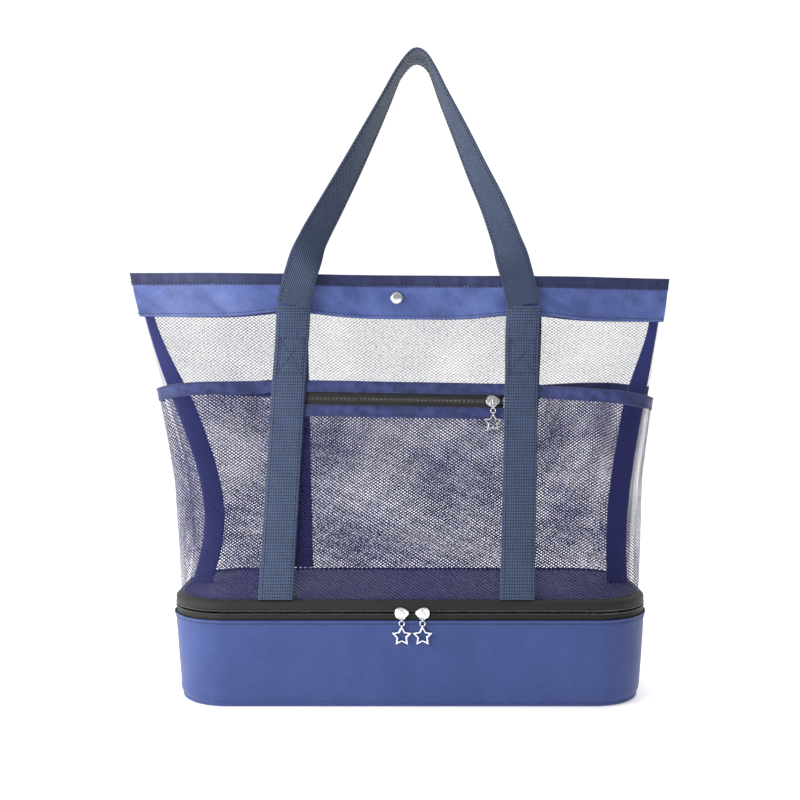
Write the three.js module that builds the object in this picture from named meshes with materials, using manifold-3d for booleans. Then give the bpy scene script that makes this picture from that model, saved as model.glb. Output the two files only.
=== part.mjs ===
// Mesh beach tote on an insulated, zip-around cooler base.
// Millimetres, +Z up. The origin is the middle of the base, on the ground; the front faces -Y.
import * as THREE from "three";
import { mergeVertices } from "three/addons/utils/BufferGeometryUtils.js";
import Module from "manifold-3d";

const wasm = await Module();
wasm.setup();

// ---------------------------------------------------------------- driving dimensions

const SEW_GAP = 0.3; // left between pieces that are sewn or pressed together

// Cooler base
const COOLER_WIDTH = 450;
const COOLER_DEPTH = 165;
const COOLER_CORNER = 55; // corner radius seen from above
const COOLER_WALL_TOP = 82; // height of the fabric wall
const COOLER_TAPER = 6; // how far the wall leans in at the ground
const FABRIC = 1.2; // laminated polyester
const WALL_FOAM = 4;
const FLOOR_FOAM = 4;
const FOIL = 0.8; // foil lining
const PIPING_R = 2.2; // bound cord round the bottom edge
const BOTTOM_PANEL = 1.6;

// Zip between the cooler and the tote
const ZIP_TAPE = 1.0; // thickness of the woven tape
const ZIP_TAPE_INSET = 0.5; // outer face of the tape, in from the wall's
const TAPE_HEIGHT = 4; // each side, up to its coil
const COIL_HEIGHT = 1.9;
const COIL_DEPTH = 1.4;
const COIL_GAP = 1.6; // between the two coils, where the slider's post runs
const HINGE_WIDTH = 300; // rear stretch with no zip, where the tote is sewn on

// Tote
const LID_PANEL = 1.6;
const LID_FOAM = 5;
const LID_INSET = 8; // foam and foil of the lid, in from the wall
const FOOT_INSET = 8; // foot of the mesh, in from the cooler's outline
const FOOT_CORNER = 50;
const MOUTH_WIDTH = 522;
const RIM_HEIGHT = 403;
const BAND_HEIGHT = 41;
const BAND_OVERHANG = 4; // band's ends, past the mesh below it
const MOUTH_DEPTH = 28; // front to rear, below the band
const MOUTH_GAPE = 14.4; // how far each side of the mouth bows out between snap and seam
const MOUTH_AT_SNAP = 3.4; // each side of the middle plane
const MOUTH_AT_SEAM = 2.0;
const PRESS_HEIGHT = RIM_HEIGHT - 103; // above this the mouth is pressed together
const MOUTH_SHIFT = -10; // the mouth leans a little to the left
const RIM_SLOPE = 0.0105; // and its left end stands a little higher
const PLEAT_LEFT = 28; // how deep the side seams are pushed in
const PLEAT_RIGHT = 9;
const MESH = 1.0;
const SEAM_FIN = 20; // width of the ribbon that binds each side seam
const SEAM_FIN_TOP = 9;
const BAND = 2.2;
const RIM_BINDING = 3.2;
const RIM_BINDING_HEIGHT = 11;

// Pockets
const POCKET_MESH = 0.8;
const POCKET_OUT = 2.9; // middle of the pocket's cloth, out from the middle of the panel's
const POCKET_HEM = 2.0;
const POCKET_TOP = 299;
const HEM_HEIGHT = 12.5;
const POCKET_SLOPE = 0.018; // the pocket's top edge drops to the right
const POCKET_DROOP = 11; // and droops towards both side seams
const POCKET_GAPE = 9; // how far the slip pockets stand open at the hem
const POCKET_EDGE = 0.965; // pockets end short of the side seam, as a share of the way round
const POCKET_ZIP_TAPE = 3;
const REAR_POCKET_TOP = 295;

// Straps and handles
const STRAP_WIDTH = 32;
const STRAP = 1.4;
const STRAP_OUT = 5.1;
const STRAP_SPACING = 222; // middle to middle, front
const REAR_STRAP_SPACING = 234;
const STRAP_SHIFT_FOOT = -13; // middle of the pair of front straps at the foot
const STRAP_SHIFT_TOP = -1.5;
const HANDLE_START = RIM_HEIGHT - 30; // row of stitches from which the handles are free
const HANDLE = 1.8; // webbing folded and sewn double
const HANDLE_RISE = 244; // apex of the front handle above that row
const REAR_HANDLE_RISE = 248;
const HANDLE_PART = 1.5; // from the middle plane to each handle's edge at the apex

// Sliders and star charms
const SLIDER_LENGTH = 12.5;
const SLIDER_HEIGHT = 8.4;
const SLIDER_PLATE = 1.0;
const SLIDER_MOUTH = 1.05; // from the middle of the tape to each plate
const PULL_RING_R = 3.2;
const PULL_WIRE_R = 0.5;
const STAR_R = 9.7; // middle to point
const STAR_WAIST = 0.52; // inner corners, as a share of STAR_R
const STAR_WIRE = 1.5;
const SLIDER_LEFT_X = -8;
const SLIDER_RIGHT_X = 11;
const POCKET_SLIDER_CLEAR = 12; // from the strap's edge to the middle of the pocket's slider

// Press stud
const SNAP_X = -13;
const SNAP_Z = RIM_HEIGHT - 22;
const SNAP_CAP_R = 5.8;
const SNAP_PLATE = 1.1;

// ---------------------------------------------------------------- derived heights

const TAPE_LOW = COOLER_WALL_TOP + SEW_GAP;
const COIL_LOW = TAPE_LOW + TAPE_HEIGHT;
const ZIP_MIDDLE = COIL_LOW + COIL_HEIGHT + COIL_GAP / 2;
const UPPER_COIL_LOW = ZIP_MIDDLE + COIL_GAP / 2;
const UPPER_TAPE_LOW = UPPER_COIL_LOW + COIL_HEIGHT;
const LID_LOW = UPPER_TAPE_LOW + TAPE_HEIGHT + SEW_GAP;
const FOOT = LID_LOW + LID_PANEL + 0.6;
const BAND_LOW = RIM_HEIGHT - BAND_HEIGHT;
const RIM_BINDING_LOW = RIM_HEIGHT - RIM_BINDING_HEIGHT;
const FLOOR_TOP = BOTTOM_PANEL + SEW_GAP + FLOOR_FOAM;

// ---------------------------------------------------------------- colours

const COLOURS = {
  blue: [0x5068a8, 0.6, 0],
  navy: [0x303b74, 0.65, 0],
  binding: [0x343b63, 0.65, 0],
  meshCloth: [0x3c4268, 0.8, 0],
  webbing: [0x40506e, 0.75, 0],
  zip: [0x202121, 0.7, 0],
  foam: [0xe4e4e0, 0.9, 0],
  foil: [0xc4c8cc, 0.3, 0.7],
  chrome: [0xd0d2d6, 0.2, 1],
};

const bag = new THREE.Group();

function add(name, geometry, colour, place = new THREE.Matrix4()) {
  const [color, roughness, metalness] = COLOURS[colour];
  const material = new THREE.MeshStandardMaterial({ color, roughness, metalness });
  const mesh = new THREE.Mesh(geometry, material);
  mesh.name = name;
  mesh.applyMatrix4(place);
  bag.add(mesh);
}

// ---------------------------------------------------------------- shaping helpers

const lerp = THREE.MathUtils.lerp;
const smoothstep = THREE.MathUtils.smoothstep;
const clamp01 = (x) => Math.min(1, Math.max(0, x));

// A unit box cut into cells and bent by place(across, out, up): across and up run from
// 0 to 1, and out from -0.5 on the outer face to 0.5 on the inner one.
function bentBox(across, up, place) {
  const box = new THREE.BoxGeometry(1, 1, 1, across, 1, up);
  const corners = box.getAttribute("position");
  for (let i = 0; i < corners.count; i += 1) {
    const at = place(corners.getX(i) + 0.5, corners.getY(i), corners.getZ(i) + 0.5);
    corners.setXYZ(i, at.x, at.y, at.z);
  }
  // The outer face is cut along the same diagonals as the inner one, so that a thin sheet
  // that is warped doesn't pass through itself.
  const index = box.getIndex();
  const { start, count } = box.groups[3];
  for (let i = start; i < start + count; i += 6) {
    const [a, b, d, c] = [0, 1, 2, 4].map((k) => index.getX(i + k));
    [a, b, c, a, c, d].forEach((corner, k) => index.setX(i + k, corner));
  }
  box.computeVertexNormals();
  return box;
}

// The same geometry mirrored from front to rear, with its faces turned to point out again.
function toRear(geometry) {
  const rear = geometry.toNonIndexed();
  rear.scale(1, -1, 1);
  const corners = rear.getAttribute("position");
  const a = new THREE.Vector3();
  const b = new THREE.Vector3();
  for (let i = 0; i < corners.count; i += 3) {
    a.fromBufferAttribute(corners, i);
    b.fromBufferAttribute(corners, i + 1);
    corners.setXYZ(i, b.x, b.y, b.z);
    corners.setXYZ(i + 1, a.x, a.y, a.z);
  }
  rear.computeVertexNormals();
  return rear;
}

// Closed rings of equally many points, each joined to the next. The ends are filled when
// capped, and otherwise the last ring joins the first, which leaves a hoop.
function loft(rings, capped) {
  const points = rings.flat();
  const count = rings[0].length;
  const faces = [];
  const joins = capped ? rings.length - 1 : rings.length;
  for (let r = 0; r < joins; r += 1) {
    const low = r * count;
    const high = ((r + 1) % rings.length) * count;
    for (let i = 0; i < count; i += 1) {
      const j = (i + 1) % count;
      faces.push(low + i, low + j, high + j, low + i, high + j, high + i);
    }
  }
  if (capped) {
    const last = (rings.length - 1) * count;
    for (let i = 1; i < count - 1; i += 1) {
      faces.push(0, i + 1, i, last, last + i, last + i + 1);
    }
  }
  const geometry = new THREE.BufferGeometry().setFromPoints(points);
  geometry.setIndex(faces);
  geometry.computeVertexNormals();
  return geometry;
}

function solidOf(geometry) {
  const bare = new THREE.BufferGeometry();
  bare.setAttribute("position", geometry.getAttribute("position"));
  bare.setIndex(geometry.getIndex());
  const merged = mergeVertices(bare, 1e-4);
  return new wasm.Manifold(
    new wasm.Mesh({
      numProp: 3,
      vertProperties: merged.getAttribute("position").array,
      triVerts: new Uint32Array(merged.getIndex().array),
    }),
  );
}

function joined(geometries) {
  const whole = geometries.map(solidOf).reduce((sum, piece) => sum.add(piece));
  const mesh = whole.getMesh();
  const geometry = new THREE.BufferGeometry();
  geometry.setAttribute("position", new THREE.BufferAttribute(mesh.vertProperties, 3));
  geometry.setIndex(new THREE.BufferAttribute(mesh.triVerts, 1));
  geometry.computeVertexNormals();
  return geometry;
}

// ---------------------------------------------------------------- the cooler's outline

// The outline seen from above, anticlockwise from the rear, drawn in by inset. An open one
// leaves out the rear stretch between x = -gap and x = gap.
function outline(inset, z, gap = 0) {
  const w = COOLER_WIDTH / 2 - inset;
  const d = COOLER_DEPTH / 2 - inset;
  const r = COOLER_CORNER - inset;
  const path = new THREE.Path();
  path.moveTo(-gap, d);
  path.lineTo(-(w - r), d);
  path.absarc(-(w - r), d - r, r, Math.PI / 2, Math.PI);
  path.lineTo(-w, -(d - r));
  path.absarc(-(w - r), -(d - r), r, Math.PI, Math.PI * 1.5);
  path.lineTo(w - r, -d);
  path.absarc(w - r, -(d - r), r, -Math.PI / 2, 0);
  path.lineTo(w, d - r);
  path.absarc(w - r, d - r, r, 0, Math.PI / 2);
  if (gap) path.lineTo(gap, d);
  return path.getPoints(5).map((p) => new THREE.Vector3(p.x, p.y, z));
}

const taperAt = (z) => COOLER_TAPER * (1 - z / COOLER_WALL_TOP);

// A wall that follows the whole outline between two heights, inset and leaning as given.
function hoop(low, high, insetLow, insetHigh, thick) {
  return loft(
    [
      outline(insetLow, low),
      outline(insetHigh, high),
      outline(insetHigh + thick, high),
      outline(insetLow + thick, low),
    ],
    false,
  );
}

const plate = (low, high, inset) => loft([outline(inset, low), outline(inset, high)], true);

// An upright strip round the outline, open at the rear.
function openStrip(low, high, inset, thick) {
  const outer = outline(inset, 0, HINGE_WIDTH / 2);
  const inner = outline(inset + thick, 0, HINGE_WIDTH / 2);
  return bentBox(outer.length - 1, 1, (across, out, up) => {
    const i = Math.round(across * (outer.length - 1));
    const at = (out < 0 ? outer : inner)[i].clone();
    at.z = lerp(low, high, up);
    return at;
  });
}

// ---------------------------------------------------------------- the tote's cloth

// How far each side of the mouth stands off the middle plane; q runs from the middle to a seam.
const lens = (q) =>
  lerp(MOUTH_AT_SNAP, MOUTH_AT_SEAM, q) + MOUTH_GAPE * Math.sin(Math.PI * q) ** 2;

// Half a level of the tote, from the front middle round the corner to the side seam.
function level(z, spread = 0) {
  const t = clamp01((z - FOOT) / (RIM_HEIGHT - FOOT));
  const half = lerp(COOLER_WIDTH / 2 - FOOT_INSET, MOUTH_WIDTH / 2, t) + spread;
  const rise = clamp01((z - FOOT) / (BAND_LOW - FOOT));
  const deep = lerp(COOLER_DEPTH / 2 - FOOT_INSET, MOUTH_DEPTH / 2, rise);
  const r = Math.min(FOOT_CORNER, deep);
  const girth = half - r + (Math.PI / 2) * r + deep - r;
  return { t, half, deep, r, girth, pressed: smoothstep(z, PRESS_HEIGHT, BAND_LOW) };
}

// A point of the front cloth. f runs from -1 at the left side seam, over the front, to 1.
function clothPoint(f, z, spread = 0) {
  const { t, half, deep, r, girth, pressed } = level(z, spread);
  const side = Math.sign(f) || 1;
  const along = Math.abs(f) * girth;
  const bend = along - (half - r);
  let x = along;
  let y = deep;
  if (bend > (Math.PI / 2) * r) {
    x = half;
    y = deep - r - (bend - (Math.PI / 2) * r);
  } else if (bend > 0) {
    x = half - r + r * Math.sin(bend / r);
    y = deep - r + r * Math.cos(bend / r);
  }
  y = lerp(y, lens(clamp01(x / half)), pressed);
  const pleat = (side < 0 ? PLEAT_LEFT : PLEAT_RIGHT) * Math.sin(Math.PI * t ** 0.6) ** 2;
  x -= 1.1 * pleat * smoothstep(Math.abs(f), 0.8, 1.06);
  x = side * x + MOUTH_SHIFT * t;
  return new THREE.Vector3(x, -y, z - RIM_SLOPE * x * pressed);
}

function clothNormal(f, z, spread) {
  const step = 0.004;
  const right = clothPoint(Math.min(1, f + step), z, spread);
  right.sub(clothPoint(Math.max(-1, f - step), z, spread));
  const up = clothPoint(f, z + 1, spread).sub(clothPoint(f, z - 1, spread));
  return right.cross(up).normalize();
}

const offCloth = (f, z, out, spread = 0) =>
  clothPoint(f, z, spread).addScaledVector(clothNormal(f, z, spread), out);

// The share of the way round at which the front cloth passes x.
const roundAt = (x, z) => (x - MOUTH_SHIFT * level(z).t) / level(z).girth;

// A piece of cloth of one thickness that follows the front of the tote. at(across, up)
// gives its [f, z], and out(f, z) how far its middle stands off the panel's.
function clothPiece({ at, out = () => 0, thick, across, up, spread = 0 }) {
  return bentBox(across, up, (u, w, v) => {
    const [f, z] = at(u, v);
    return offCloth(f, z, out(f, z) - w * thick, spread);
  });
}

const SEAM_SHARE = 0.996; // the two panels stop short of each other by the thickness of a seam
const between = (low, high, edge = SEAM_SHARE) => (u, v) => [
  lerp(-edge, edge, u),
  lerp(low, high, v),
];

// ---------------------------------------------------------------- cooler base

function buildCooler() {
  const low = 2 * PIPING_R + 0.5;
  const lining = FABRIC + SEW_GAP;
  add("bottom_panel", plate(0, BOTTOM_PANEL, COOLER_TAPER + PIPING_R + SEW_GAP), "blue");
  const cord = [];
  for (let i = 0; i < 6; i += 1) {
    const a = (-i / 6) * 2 * Math.PI;
    const inset = COOLER_TAPER + PIPING_R * Math.cos(a);
    cord.push(outline(inset, PIPING_R + 0.1 + PIPING_R * Math.sin(a)));
  }
  add("bottom_piping", loft(cord, false), "binding");
  add("cooler_wall", hoop(low, COOLER_WALL_TOP, taperAt(low), 0, FABRIC), "blue");
  const foamInset = COOLER_TAPER + PIPING_R + SEW_GAP;
  add("floor_foam", plate(BOTTOM_PANEL + SEW_GAP, FLOOR_TOP, foamInset), "foam");
  const foamLow = FLOOR_TOP + SEW_GAP;
  const foamTop = COOLER_WALL_TOP - 1;
  add(
    "wall_foam",
    hoop(foamLow, foamTop, taperAt(foamLow) + lining, taperAt(foamTop) + lining, WALL_FOAM),
    "foam",
  );
  const foil = lining + WALL_FOAM + SEW_GAP;
  const tub = [
    outline(taperAt(foamLow) + foil, foamLow),
    outline(foil, COOLER_WALL_TOP),
    outline(foil + FOIL, COOLER_WALL_TOP),
    outline(taperAt(foamLow) + foil + FOIL, foamLow + FOIL),
  ];
  add("foil_lining", loft(tub, true), "foil");
  add("lower_zip_tape", openStrip(TAPE_LOW, COIL_LOW - 0.2, ZIP_TAPE_INSET, ZIP_TAPE), "zip");
  const coil = ZIP_TAPE_INSET + ZIP_TAPE / 2 - COIL_DEPTH / 2;
  add("lower_zip_coil", openStrip(COIL_LOW, COIL_LOW + COIL_HEIGHT, coil, COIL_DEPTH), "zip");
  const hinge = bentBox(12, 1, (u, w, v) => {
    const x = lerp(0.5, -0.5, u) * (HINGE_WIDTH - 2);
    const y = COOLER_DEPTH / 2 - ZIP_TAPE_INSET - ZIP_TAPE / 2 - w * ZIP_TAPE;
    return new THREE.Vector3(x, y, lerp(TAPE_LOW, LID_LOW - SEW_GAP, v));
  });
  add("rear_hinge_strip", hinge, "binding");
}

// ---------------------------------------------------------------- tote

function buildLid() {
  add("tote_floor", plate(LID_LOW, LID_LOW + LID_PANEL, 0), "navy");
  const foamLow = LID_LOW - SEW_GAP - LID_FOAM;
  add("lid_foam", plate(foamLow, LID_LOW - SEW_GAP, LID_INSET), "foam");
  add("lid_foil", plate(foamLow - SEW_GAP - FOIL, foamLow - SEW_GAP, LID_INSET), "foil");
  const coil = ZIP_TAPE_INSET + ZIP_TAPE / 2 - COIL_DEPTH / 2;
  add(
    "upper_zip_coil",
    openStrip(UPPER_COIL_LOW, UPPER_COIL_LOW + COIL_HEIGHT - 0.2, coil, COIL_DEPTH),
    "zip",
  );
  add(
    "upper_zip_tape",
    openStrip(UPPER_TAPE_LOW, LID_LOW - SEW_GAP, ZIP_TAPE_INSET, ZIP_TAPE),
    "zip",
  );
}

function seamFin(side) {
  return bentBox(1, 14, (u, w, v) => {
    const z = lerp(FOOT + 1, BAND_LOW - 0.6, v);
    const width = lerp(SEAM_FIN, SEAM_FIN_TOP, smoothstep(z, 270, BAND_LOW));
    const seam = clothPoint(side, z);
    const inward = MESH + 1 + width * (side < 0 ? u : 1 - u);
    return new THREE.Vector3(seam.x - side * inward, w * 1.2, seam.z);
  });
}

function buildTote() {
  const panel = clothPiece({
    at: between(FOOT, BAND_LOW - SEW_GAP),
    thick: MESH,
    across: 34,
    up: 9,
  });
  add("front_mesh_panel", panel, "meshCloth");
  add("rear_mesh_panel", toRear(panel), "meshCloth");
  add("left_seam_ribbon", seamFin(-1), "navy");
  add("right_seam_ribbon", seamFin(1), "navy");
  const band = clothPiece({
    at: between(BAND_LOW, RIM_BINDING_LOW - SEW_GAP),
    thick: BAND,
    across: 28,
    up: 1,
    spread: BAND_OVERHANG,
  });
  add("front_band", band, "blue");
  add("rear_band", toRear(band), "blue");
  const binding = clothPiece({
    at: between(RIM_BINDING_LOW, RIM_HEIGHT),
    thick: RIM_BINDING,
    across: 28,
    up: 1,
    spread: BAND_OVERHANG,
  });
  add("front_rim_binding", binding, "binding");
  add("rear_rim_binding", toRear(binding), "binding");
}

// ---------------------------------------------------------------- pockets

const strapMiddle = (z) =>
  lerp(STRAP_SHIFT_FOOT, STRAP_SHIFT_TOP, clamp01((z - FOOT) / (HANDLE_START - FOOT)));

const strapX = (side, z) => strapMiddle(z) + (side * STRAP_SPACING) / 2;

// Height of the front pocket's top edge: level between the straps but for its slope, and
// drooping from them to the side seams.
function pocketTop(f) {
  const x = f * level(POCKET_TOP).girth;
  const past = clamp01((Math.abs(f) - 0.47) / (1 - 0.47));
  return POCKET_TOP - POCKET_SLOPE * x - POCKET_DROOP * past;
}

// How far a slip pocket's cloth stands off the panel: sewn down at the foot, the strap and the
// seam, open at the hem.
function slipOut(f, z) {
  const strap = (STRAP_SPACING + STRAP_WIDTH) / 2 + 14;
  const first = strap / level(z).girth;
  const q = clamp01((Math.abs(f) - first) / (POCKET_EDGE - first));
  const up = clamp01((z - FOOT) / (POCKET_TOP - HEM_HEIGHT - FOOT));
  return POCKET_OUT + POCKET_GAPE * Math.sin(Math.PI * q) * up ** 1.3;
}

function slipPocket(side) {
  const name = side < 0 ? "left" : "right";
  const reach = (u, z) => {
    const outer = side * POCKET_EDGE;
    const inner = roundAt(strapX(side, z), z) + (side * SEW_GAP) / level(z).girth;
    return side < 0 ? lerp(outer, inner, u) : lerp(inner, outer, u);
  };
  const foot = FOOT + 1;
  const cloth = clothPiece({
    at: (u, v) => {
      const top = pocketTop(reach(u, POCKET_TOP)) - HEM_HEIGHT - SEW_GAP;
      const z = lerp(foot, top, v);
      return [reach(u, z), z];
    },
    out: slipOut,
    thick: POCKET_MESH,
    across: 16,
    up: 6,
  });
  add(`${name}_pocket_mesh`, cloth, "meshCloth");
  const hem = clothPiece({
    at: (u, v) => {
      const top = pocketTop(reach(u, POCKET_TOP));
      const z = top - HEM_HEIGHT * (1 - v);
      return [reach(u, z), z];
    },
    out: (f) => slipOut(f, POCKET_TOP),
    thick: POCKET_HEM,
    across: 16,
    up: 1,
  });
  add(`${name}_pocket_hem`, hem, "navy");
}

// Heights of the centre pocket's strips below its top edge.
const ZIP_PITCH = COIL_HEIGHT + COIL_GAP / 2;
const CENTRE_ZIP_DEPTH = HEM_HEIGHT - 1.5 + SEW_GAP + POCKET_ZIP_TAPE + ZIP_PITCH;

// Across the centre pocket, from one strap's middle line to the other's, drawn in by inner.
const betweenStraps = (u, z, inner) =>
  lerp(roundAt(strapX(-1, z) + inner, z), roundAt(strapX(1, z) - inner, z), u);

const centreTop = (u, inner) => pocketTop(betweenStraps(u, POCKET_TOP, inner));

function centreStrip(below, height, thick, inner = 0) {
  return clothPiece({
    at: (u, v) => {
      const z = centreTop(u, inner) - below - height * (1 - v);
      return [betweenStraps(u, z, inner), z];
    },
    out: () => POCKET_OUT,
    thick,
    across: 6,
    up: 1,
  });
}

function buildCentrePocket() {
  const middle = CENTRE_ZIP_DEPTH;
  const hem = HEM_HEIGHT - 1.5;
  const inner = STRAP_WIDTH / 2 + 1;
  const half = COIL_GAP / 2;
  add("centre_pocket_upper_hem", centreStrip(0, hem, POCKET_HEM, SEW_GAP), "navy");
  const tape = POCKET_ZIP_TAPE;
  const coils = [
    ["upper", middle - half - COIL_HEIGHT, middle - half - COIL_HEIGHT - tape],
    ["lower", middle + half, middle + half + COIL_HEIGHT],
  ];
  for (const [name, coilTop, tapeTop] of coils) {
    add(
      `pocket_zip_${name}_coil`,
      centreStrip(coilTop, COIL_HEIGHT - 0.1, COIL_DEPTH, inner),
      "zip",
    );
    add(`pocket_zip_${name}_tape`, centreStrip(tapeTop, tape - 0.1, ZIP_TAPE, inner), "zip");
  }
  const lowerHem = middle + half + COIL_HEIGHT + tape + SEW_GAP;
  add("centre_pocket_lower_hem", centreStrip(lowerHem, hem, POCKET_HEM, SEW_GAP), "navy");
  const clothTop = lowerHem + hem + SEW_GAP;
  const cloth = clothPiece({
    at: (u, v) => {
      const z = lerp(FOOT + 1, centreTop(u, SEW_GAP) - clothTop, v);
      return [betweenStraps(u, z, SEW_GAP), z];
    },
    out: () => POCKET_OUT,
    thick: POCKET_MESH,
    across: 10,
    up: 6,
  });
  add("centre_pocket_mesh", cloth, "meshCloth");
}

function buildRearPocket() {
  const strap = (REAR_STRAP_SPACING - STRAP_WIDTH) / 2;
  const out = (f, z) => {
    const x = Math.abs(f) * level(z).girth;
    const beyond = strap + STRAP_WIDTH + 10;
    const sides = clamp01((x - beyond) / (POCKET_EDGE * level(z).girth - beyond));
    const middle = clamp01(x / (strap - 10));
    const bow = x < strap ? Math.cos((Math.PI / 2) * middle) : Math.sin(Math.PI * sides);
    const up = clamp01((z - FOOT) / (REAR_POCKET_TOP - HEM_HEIGHT - FOOT));
    return POCKET_OUT + POCKET_GAPE * Math.max(0, bow) * up ** 1.3;
  };
  const cloth = clothPiece({
    at: between(FOOT + 1, REAR_POCKET_TOP - HEM_HEIGHT - SEW_GAP, POCKET_EDGE),
    out,
    thick: POCKET_MESH,
    across: 36,
    up: 5,
  });
  add("rear_pocket_mesh", toRear(cloth), "meshCloth");
  const hem = clothPiece({
    at: between(REAR_POCKET_TOP - HEM_HEIGHT, REAR_POCKET_TOP, POCKET_EDGE),
    out: (f) => out(f, REAR_POCKET_TOP),
    thick: POCKET_HEM,
    across: 36,
    up: 1,
  });
  add("rear_pocket_hem", toRear(hem), "navy");
}

// ---------------------------------------------------------------- straps and handles

// A strap sewn up the outside of the cloth, from the foot to the row where the handle starts.
function sewnStrap(middleAt) {
  return clothPiece({
    at: (u, v) => {
      const z = lerp(FOOT + 1, HANDLE_START - SEW_GAP, v);
      const x = middleAt(z) + (u - 0.5) * STRAP_WIDTH;
      return [roundAt(x, z), z + RIM_SLOPE * x * level(z).pressed * v ** 4];
    },
    out: () => STRAP_OUT,
    thick: STRAP,
    across: 2,
    up: 14,
  });
}

// A handle's middle line, seen from the front: [across, above the row of stitches] as shares of
// half the spacing and of the rise. The left leg is nearly straight and the right one bows out.
const HANDLE_LINE = [
  [-1, 0],
  [-0.955, 0.09],
  [-0.84, 0.245],
  [-0.675, 0.39],
  [-0.495, 0.54],
  [-0.34, 0.675],
  [-0.2, 0.8],
  [-0.075, 0.915],
  [0.035, 0.982],
  [0.13, 0.975],
  [0.21, 0.915],
  [0.3, 0.82],
  [0.44, 0.685],
  [0.59, 0.535],
  [0.74, 0.39],
  [0.87, 0.225],
  [0.96, 0.085],
  [1, 0],
];

function handleLoop(spacing, shift, rise) {
  const start = offCloth(roundAt(shift + spacing / 2, HANDLE_START), HANDLE_START, STRAP_OUT).y;
  const points = HANDLE_LINE.map(
    ([across, up]) =>
      new THREE.Vector3(shift + (across * spacing) / 2, 0, HANDLE_START + up * rise),
  );
  const line = new THREE.CatmullRomCurve3(points, false, "centripetal");
  const free = RIM_HEIGHT + 4; // below this the handle lies flat against the band
  return bentBox(2, 34, (u, w, v) => {
    const at = line.getPointAt(v);
    const along = line.getTangentAt(v);
    if (v === 0) along.set(0, 0, 1);
    if (v === 1) along.set(0, 0, -1);
    // Above the rim the strap soon turns, and it is edge-on where the two handles meet.
    const high = clamp01((at.z - free) / (HANDLE_START + rise - free));
    const turn = (Math.PI / 2) * (0.3 * smoothstep(high, 0, 0.14) + 0.7 * high);
    const width = new THREE.Vector3(along.z, 0, -along.x).normalize();
    width.multiplyScalar(Math.cos(turn));
    width.y = Math.sin(turn);
    const resting = -(HANDLE_PART + (STRAP_WIDTH / 2) * Math.sin(turn) + HANDLE / 2);
    at.y = lerp(start, resting, smoothstep(high, 0, 0.4));
    const through = new THREE.Vector3().crossVectors(along, width).normalize();
    at.z += v === 0 || v === 1 ? SEW_GAP : 0;
    return at.addScaledVector(width, (u - 0.5) * STRAP_WIDTH).addScaledVector(through, w * HANDLE);
  });
}

function buildStraps() {
  for (const [side, name] of [
    [-1, "left"],
    [1, "right"],
  ]) {
    add(`front_${name}_strap`, sewnStrap((z) => strapX(side, z)), "webbing");
    const rear = sewnStrap(() => (side * REAR_STRAP_SPACING) / 2 - 1);
    add(`rear_${name}_strap`, toRear(rear), "webbing");
  }
  add("front_handle", handleLoop(STRAP_SPACING, STRAP_SHIFT_TOP, HANDLE_RISE), "webbing");
  const rearLoop = handleLoop(REAR_STRAP_SPACING, -1, REAR_HANDLE_RISE);
  add("rear_handle", toRear(rearLoop), "webbing");
}

// ---------------------------------------------------------------- press stud

// A round piece turned about the Y axis: profile holds [radius, y] pairs and closes on itself
// or on the axis.
function turned(profile) {
  const points = profile.map(([radius, y]) => new THREE.Vector2(radius, y));
  return new THREE.LatheGeometry(points, 18);
}

function buildSnap() {
  const cloth = clothPoint(roundAt(SNAP_X, SNAP_Z), SNAP_Z, BAND_OVERHANG);
  const face = cloth.y - BAND / 2 - SEW_GAP;
  const put = (y) => new THREE.Matrix4().makeTranslation(cloth.x, y, SNAP_Z);
  const r = SNAP_CAP_R;
  const cap = [
    [0, -2.2],
    [r * 0.55, -2.0],
    [r * 0.86, -1.3],
    [r, -0.5],
    [r * 0.96, 0],
    [0, 0],
  ];
  add("snap_cap", turned(cap), "chrome", put(face));
  const back = [
    [0, 0],
    [r * 0.9, 0],
    [r * 0.9, 0.7],
    [r * 0.6, SNAP_PLATE + 0.2],
    [0, SNAP_PLATE + 0.2],
  ];
  add("snap_back", turned(back), "chrome", put(-face));
  const inside = cloth.y + BAND / 2 + SEW_GAP;
  const socket = [
    [2.7, 0],
    [r * 0.9, 0],
    [r * 0.9, 0.7],
    [2.7, SNAP_PLATE],
    [2.7, 0],
  ];
  add("snap_socket", turned(socket), "chrome", put(inside));
  const stud = [
    [0, -SNAP_PLATE - 1.2],
    [1.7, -SNAP_PLATE - 1.2],
    [2.2, -SNAP_PLATE - 0.6],
    [1.9, -SNAP_PLATE],
    [r * 0.85, -0.5],
    [r * 0.85, 0],
    [0, 0],
  ];
  add("snap_stud", turned(stud), "chrome", put(-inside));
}

// ---------------------------------------------------------------- sliders and star charms

function block(x0, x1, y0, y1, z0, z1) {
  const box = new THREE.BoxGeometry(x1 - x0, y1 - y0, z1 - z0);
  box.translate((x0 + x1) / 2, (y0 + y1) / 2, (z0 + z1) / 2);
  return box;
}

// The slider's face seen from the front: broad where the tapes go in, narrow where they leave.
function sliderFace(thick) {
  const l = SLIDER_LENGTH / 2;
  const h = SLIDER_HEIGHT / 2;
  const shape = new THREE.Shape();
  shape.moveTo(-l, -h * 0.62);
  shape.lineTo(-l * 0.3, -h * 0.95);
  shape.quadraticCurveTo(l * 0.85, -h, l, 0);
  shape.quadraticCurveTo(l * 0.85, h, -l * 0.3, h * 0.95);
  shape.lineTo(-l, h * 0.62);
  shape.closePath();
  return new THREE.ExtrudeGeometry(shape, {
    depth: thick,
    bevelEnabled: false,
    curveSegments: 5,
  }).rotateX(Math.PI / 2);
}

const RING_TOP = 0.6; // height of the pull ring's upper wire over the zip's middle
const RING_MIDDLE = RING_TOP - PULL_RING_R;
const RING_Y = -(SLIDER_MOUTH + SLIDER_PLATE + 0.25 + PULL_WIRE_R);

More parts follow.
